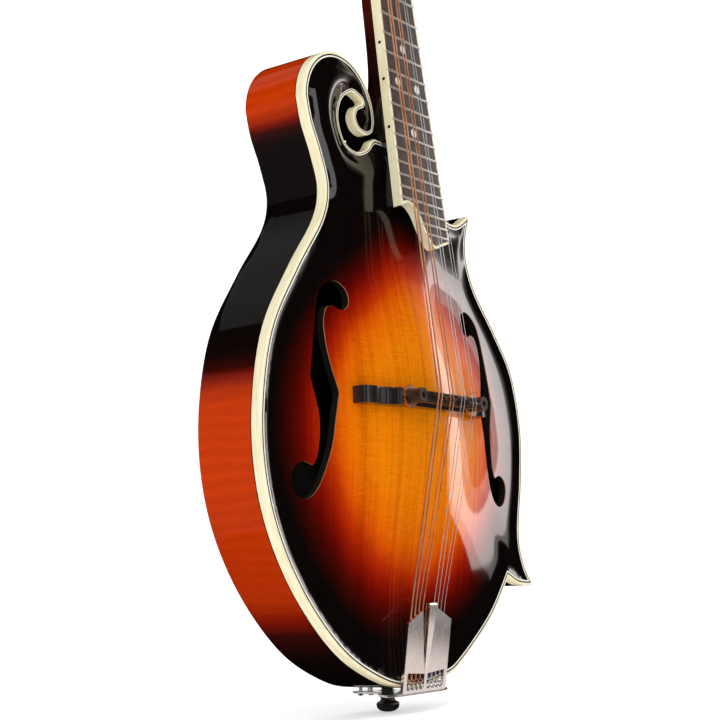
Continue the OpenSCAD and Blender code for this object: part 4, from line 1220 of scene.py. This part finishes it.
def area_light(name, at, to, width, height, watts, colour=(1, 1, 1)):
    light = bpy.data.lights.new(name, "AREA")
    light.shape = "RECTANGLE"
    light.size = width
    light.size_y = height
    light.energy = watts
    light.color = colour
    lamp = place_object(name, light)
    lamp.location = at
    lamp.rotation_euler = (Vector(to) - Vector(at)).to_track_quat("-Z", "Y").to_euler()
    return lamp


backdrop()
middle = (0, 0, 0.2)
PINK = (1, 0.93, 0.90)
# Nested softboxes, so the reflection fades at its sides and its foot
for width, low, height, watts in (
        (0.17, -0.03, 1.0, 1.3), (0.28, 0.0, 1.05, 0.9), (0.44, 0.12, 1.1, 0.5),
        (0.68, 0.26, 1.1, 0.4), (1.0, 0.40, 1.15, 0.4)):
    at = (1.31, -0.44 + 0.14 * (width - 0.17), low + height / 2)
    area_light("softbox_right", at, (0, 0, at[2]), width, height, watts, PINK)
area_light("strip_front", (0.2, -1.55, 0.35), middle, 0.16, 1.4, 1.6)
area_light("softbox_camera", (-1.35, -1.05, 0.9), middle, 1.0, 0.9, 8)
area_light("softbox_over", (-0.1, -0.6, 2.0), middle, 1.0, 1.0, 8)
area_light("card_left", (-1.6, 1.5, 0.0), middle, 3.4, 2.4, 2.1)
area_light("card_behind", (-0.25, 1.1, 1.75), middle, 1.0, 0.8, 0.4)

# Cards that only the metal parts reflect
metal_lights = bpy.data.collections.new("metal_parts")
for piece in bpy.context.scene.objects:
    if piece.type == "MESH" and any(m in METALS for m in piece.data.materials):
        metal_lights.objects.link(piece)
WARM = (1, 0.88, 0.85)
WHITE = (1, 1, 1)
for at, width, height, watts, colour in (
        ((1.2, -0.9, -0.74), 1.4, 0.94, 4.0, WARM), ((1.2, -0.9, 0.03), 1.4, 0.55, 0.9, WHITE),
        ((1.2, -0.9, 0.75), 1.4, 0.7, 1.6, WARM), ((-1.4, -0.3, 0.5), 0.8, 1.2, 3.2, WARM),
        ((-0.6, -1.5, 0.4), 0.5, 1.4, 3.0, WARM), ((0.1, 1.6, 0.5), 1.6, 1.2, 4.5, WHITE),
        ((0.1, -1.5, -0.55), 1.8, 0.7, 6.0, WARM), ((1.6, 1.2, 0.9), 1.6, 1.8, 8.0, WHITE),
        ((-1.5, 1.4, 1.3), 1.6, 1.6, 8.0, WHITE),
        ((0, 1.1, -0.7), 2.6, 1.8, 8.0, WHITE),
        ((0, -0.5, 1.8), 1.0, 1.0, 2.4, WHITE)):
    card = area_light("metal_card", at, middle, width, height, watts, colour)
    card.data.use_shadow = False
    card.light_linking.receiver_collection = metal_lights

world = bpy.data.worlds.new("studio")
world.use_nodes = True
world.node_tree.nodes["Background"].inputs["Color"].default_value = (1, 1, 1, 1)
world.node_tree.nodes["Background"].inputs["Strength"].default_value = 0.6
world.cycles_visibility.glossy = False
bpy.context.scene.world = world
bpy.context.scene.view_settings.view_transform = "Standard"

camera_data = bpy.data.cameras.new("camera")
camera_data.sensor_width = 36
camera_data.lens = 72.27
camera_data.clip_start = 0.02
camera = place_object("camera", camera_data)
back_axis = -CAMERA_TO.normalized()
right_axis = CAMERA_UP.cross(back_axis).normalized()
up_axis = back_axis.cross(right_axis)
camera.matrix_world = Matrix.LocRotScale(
    CAMERA_AT, Matrix((right_axis, up_axis, back_axis)).transposed().to_quaternion(), None)
bpy.context.scene.camera = camera

bpy.context.view_layer.update()
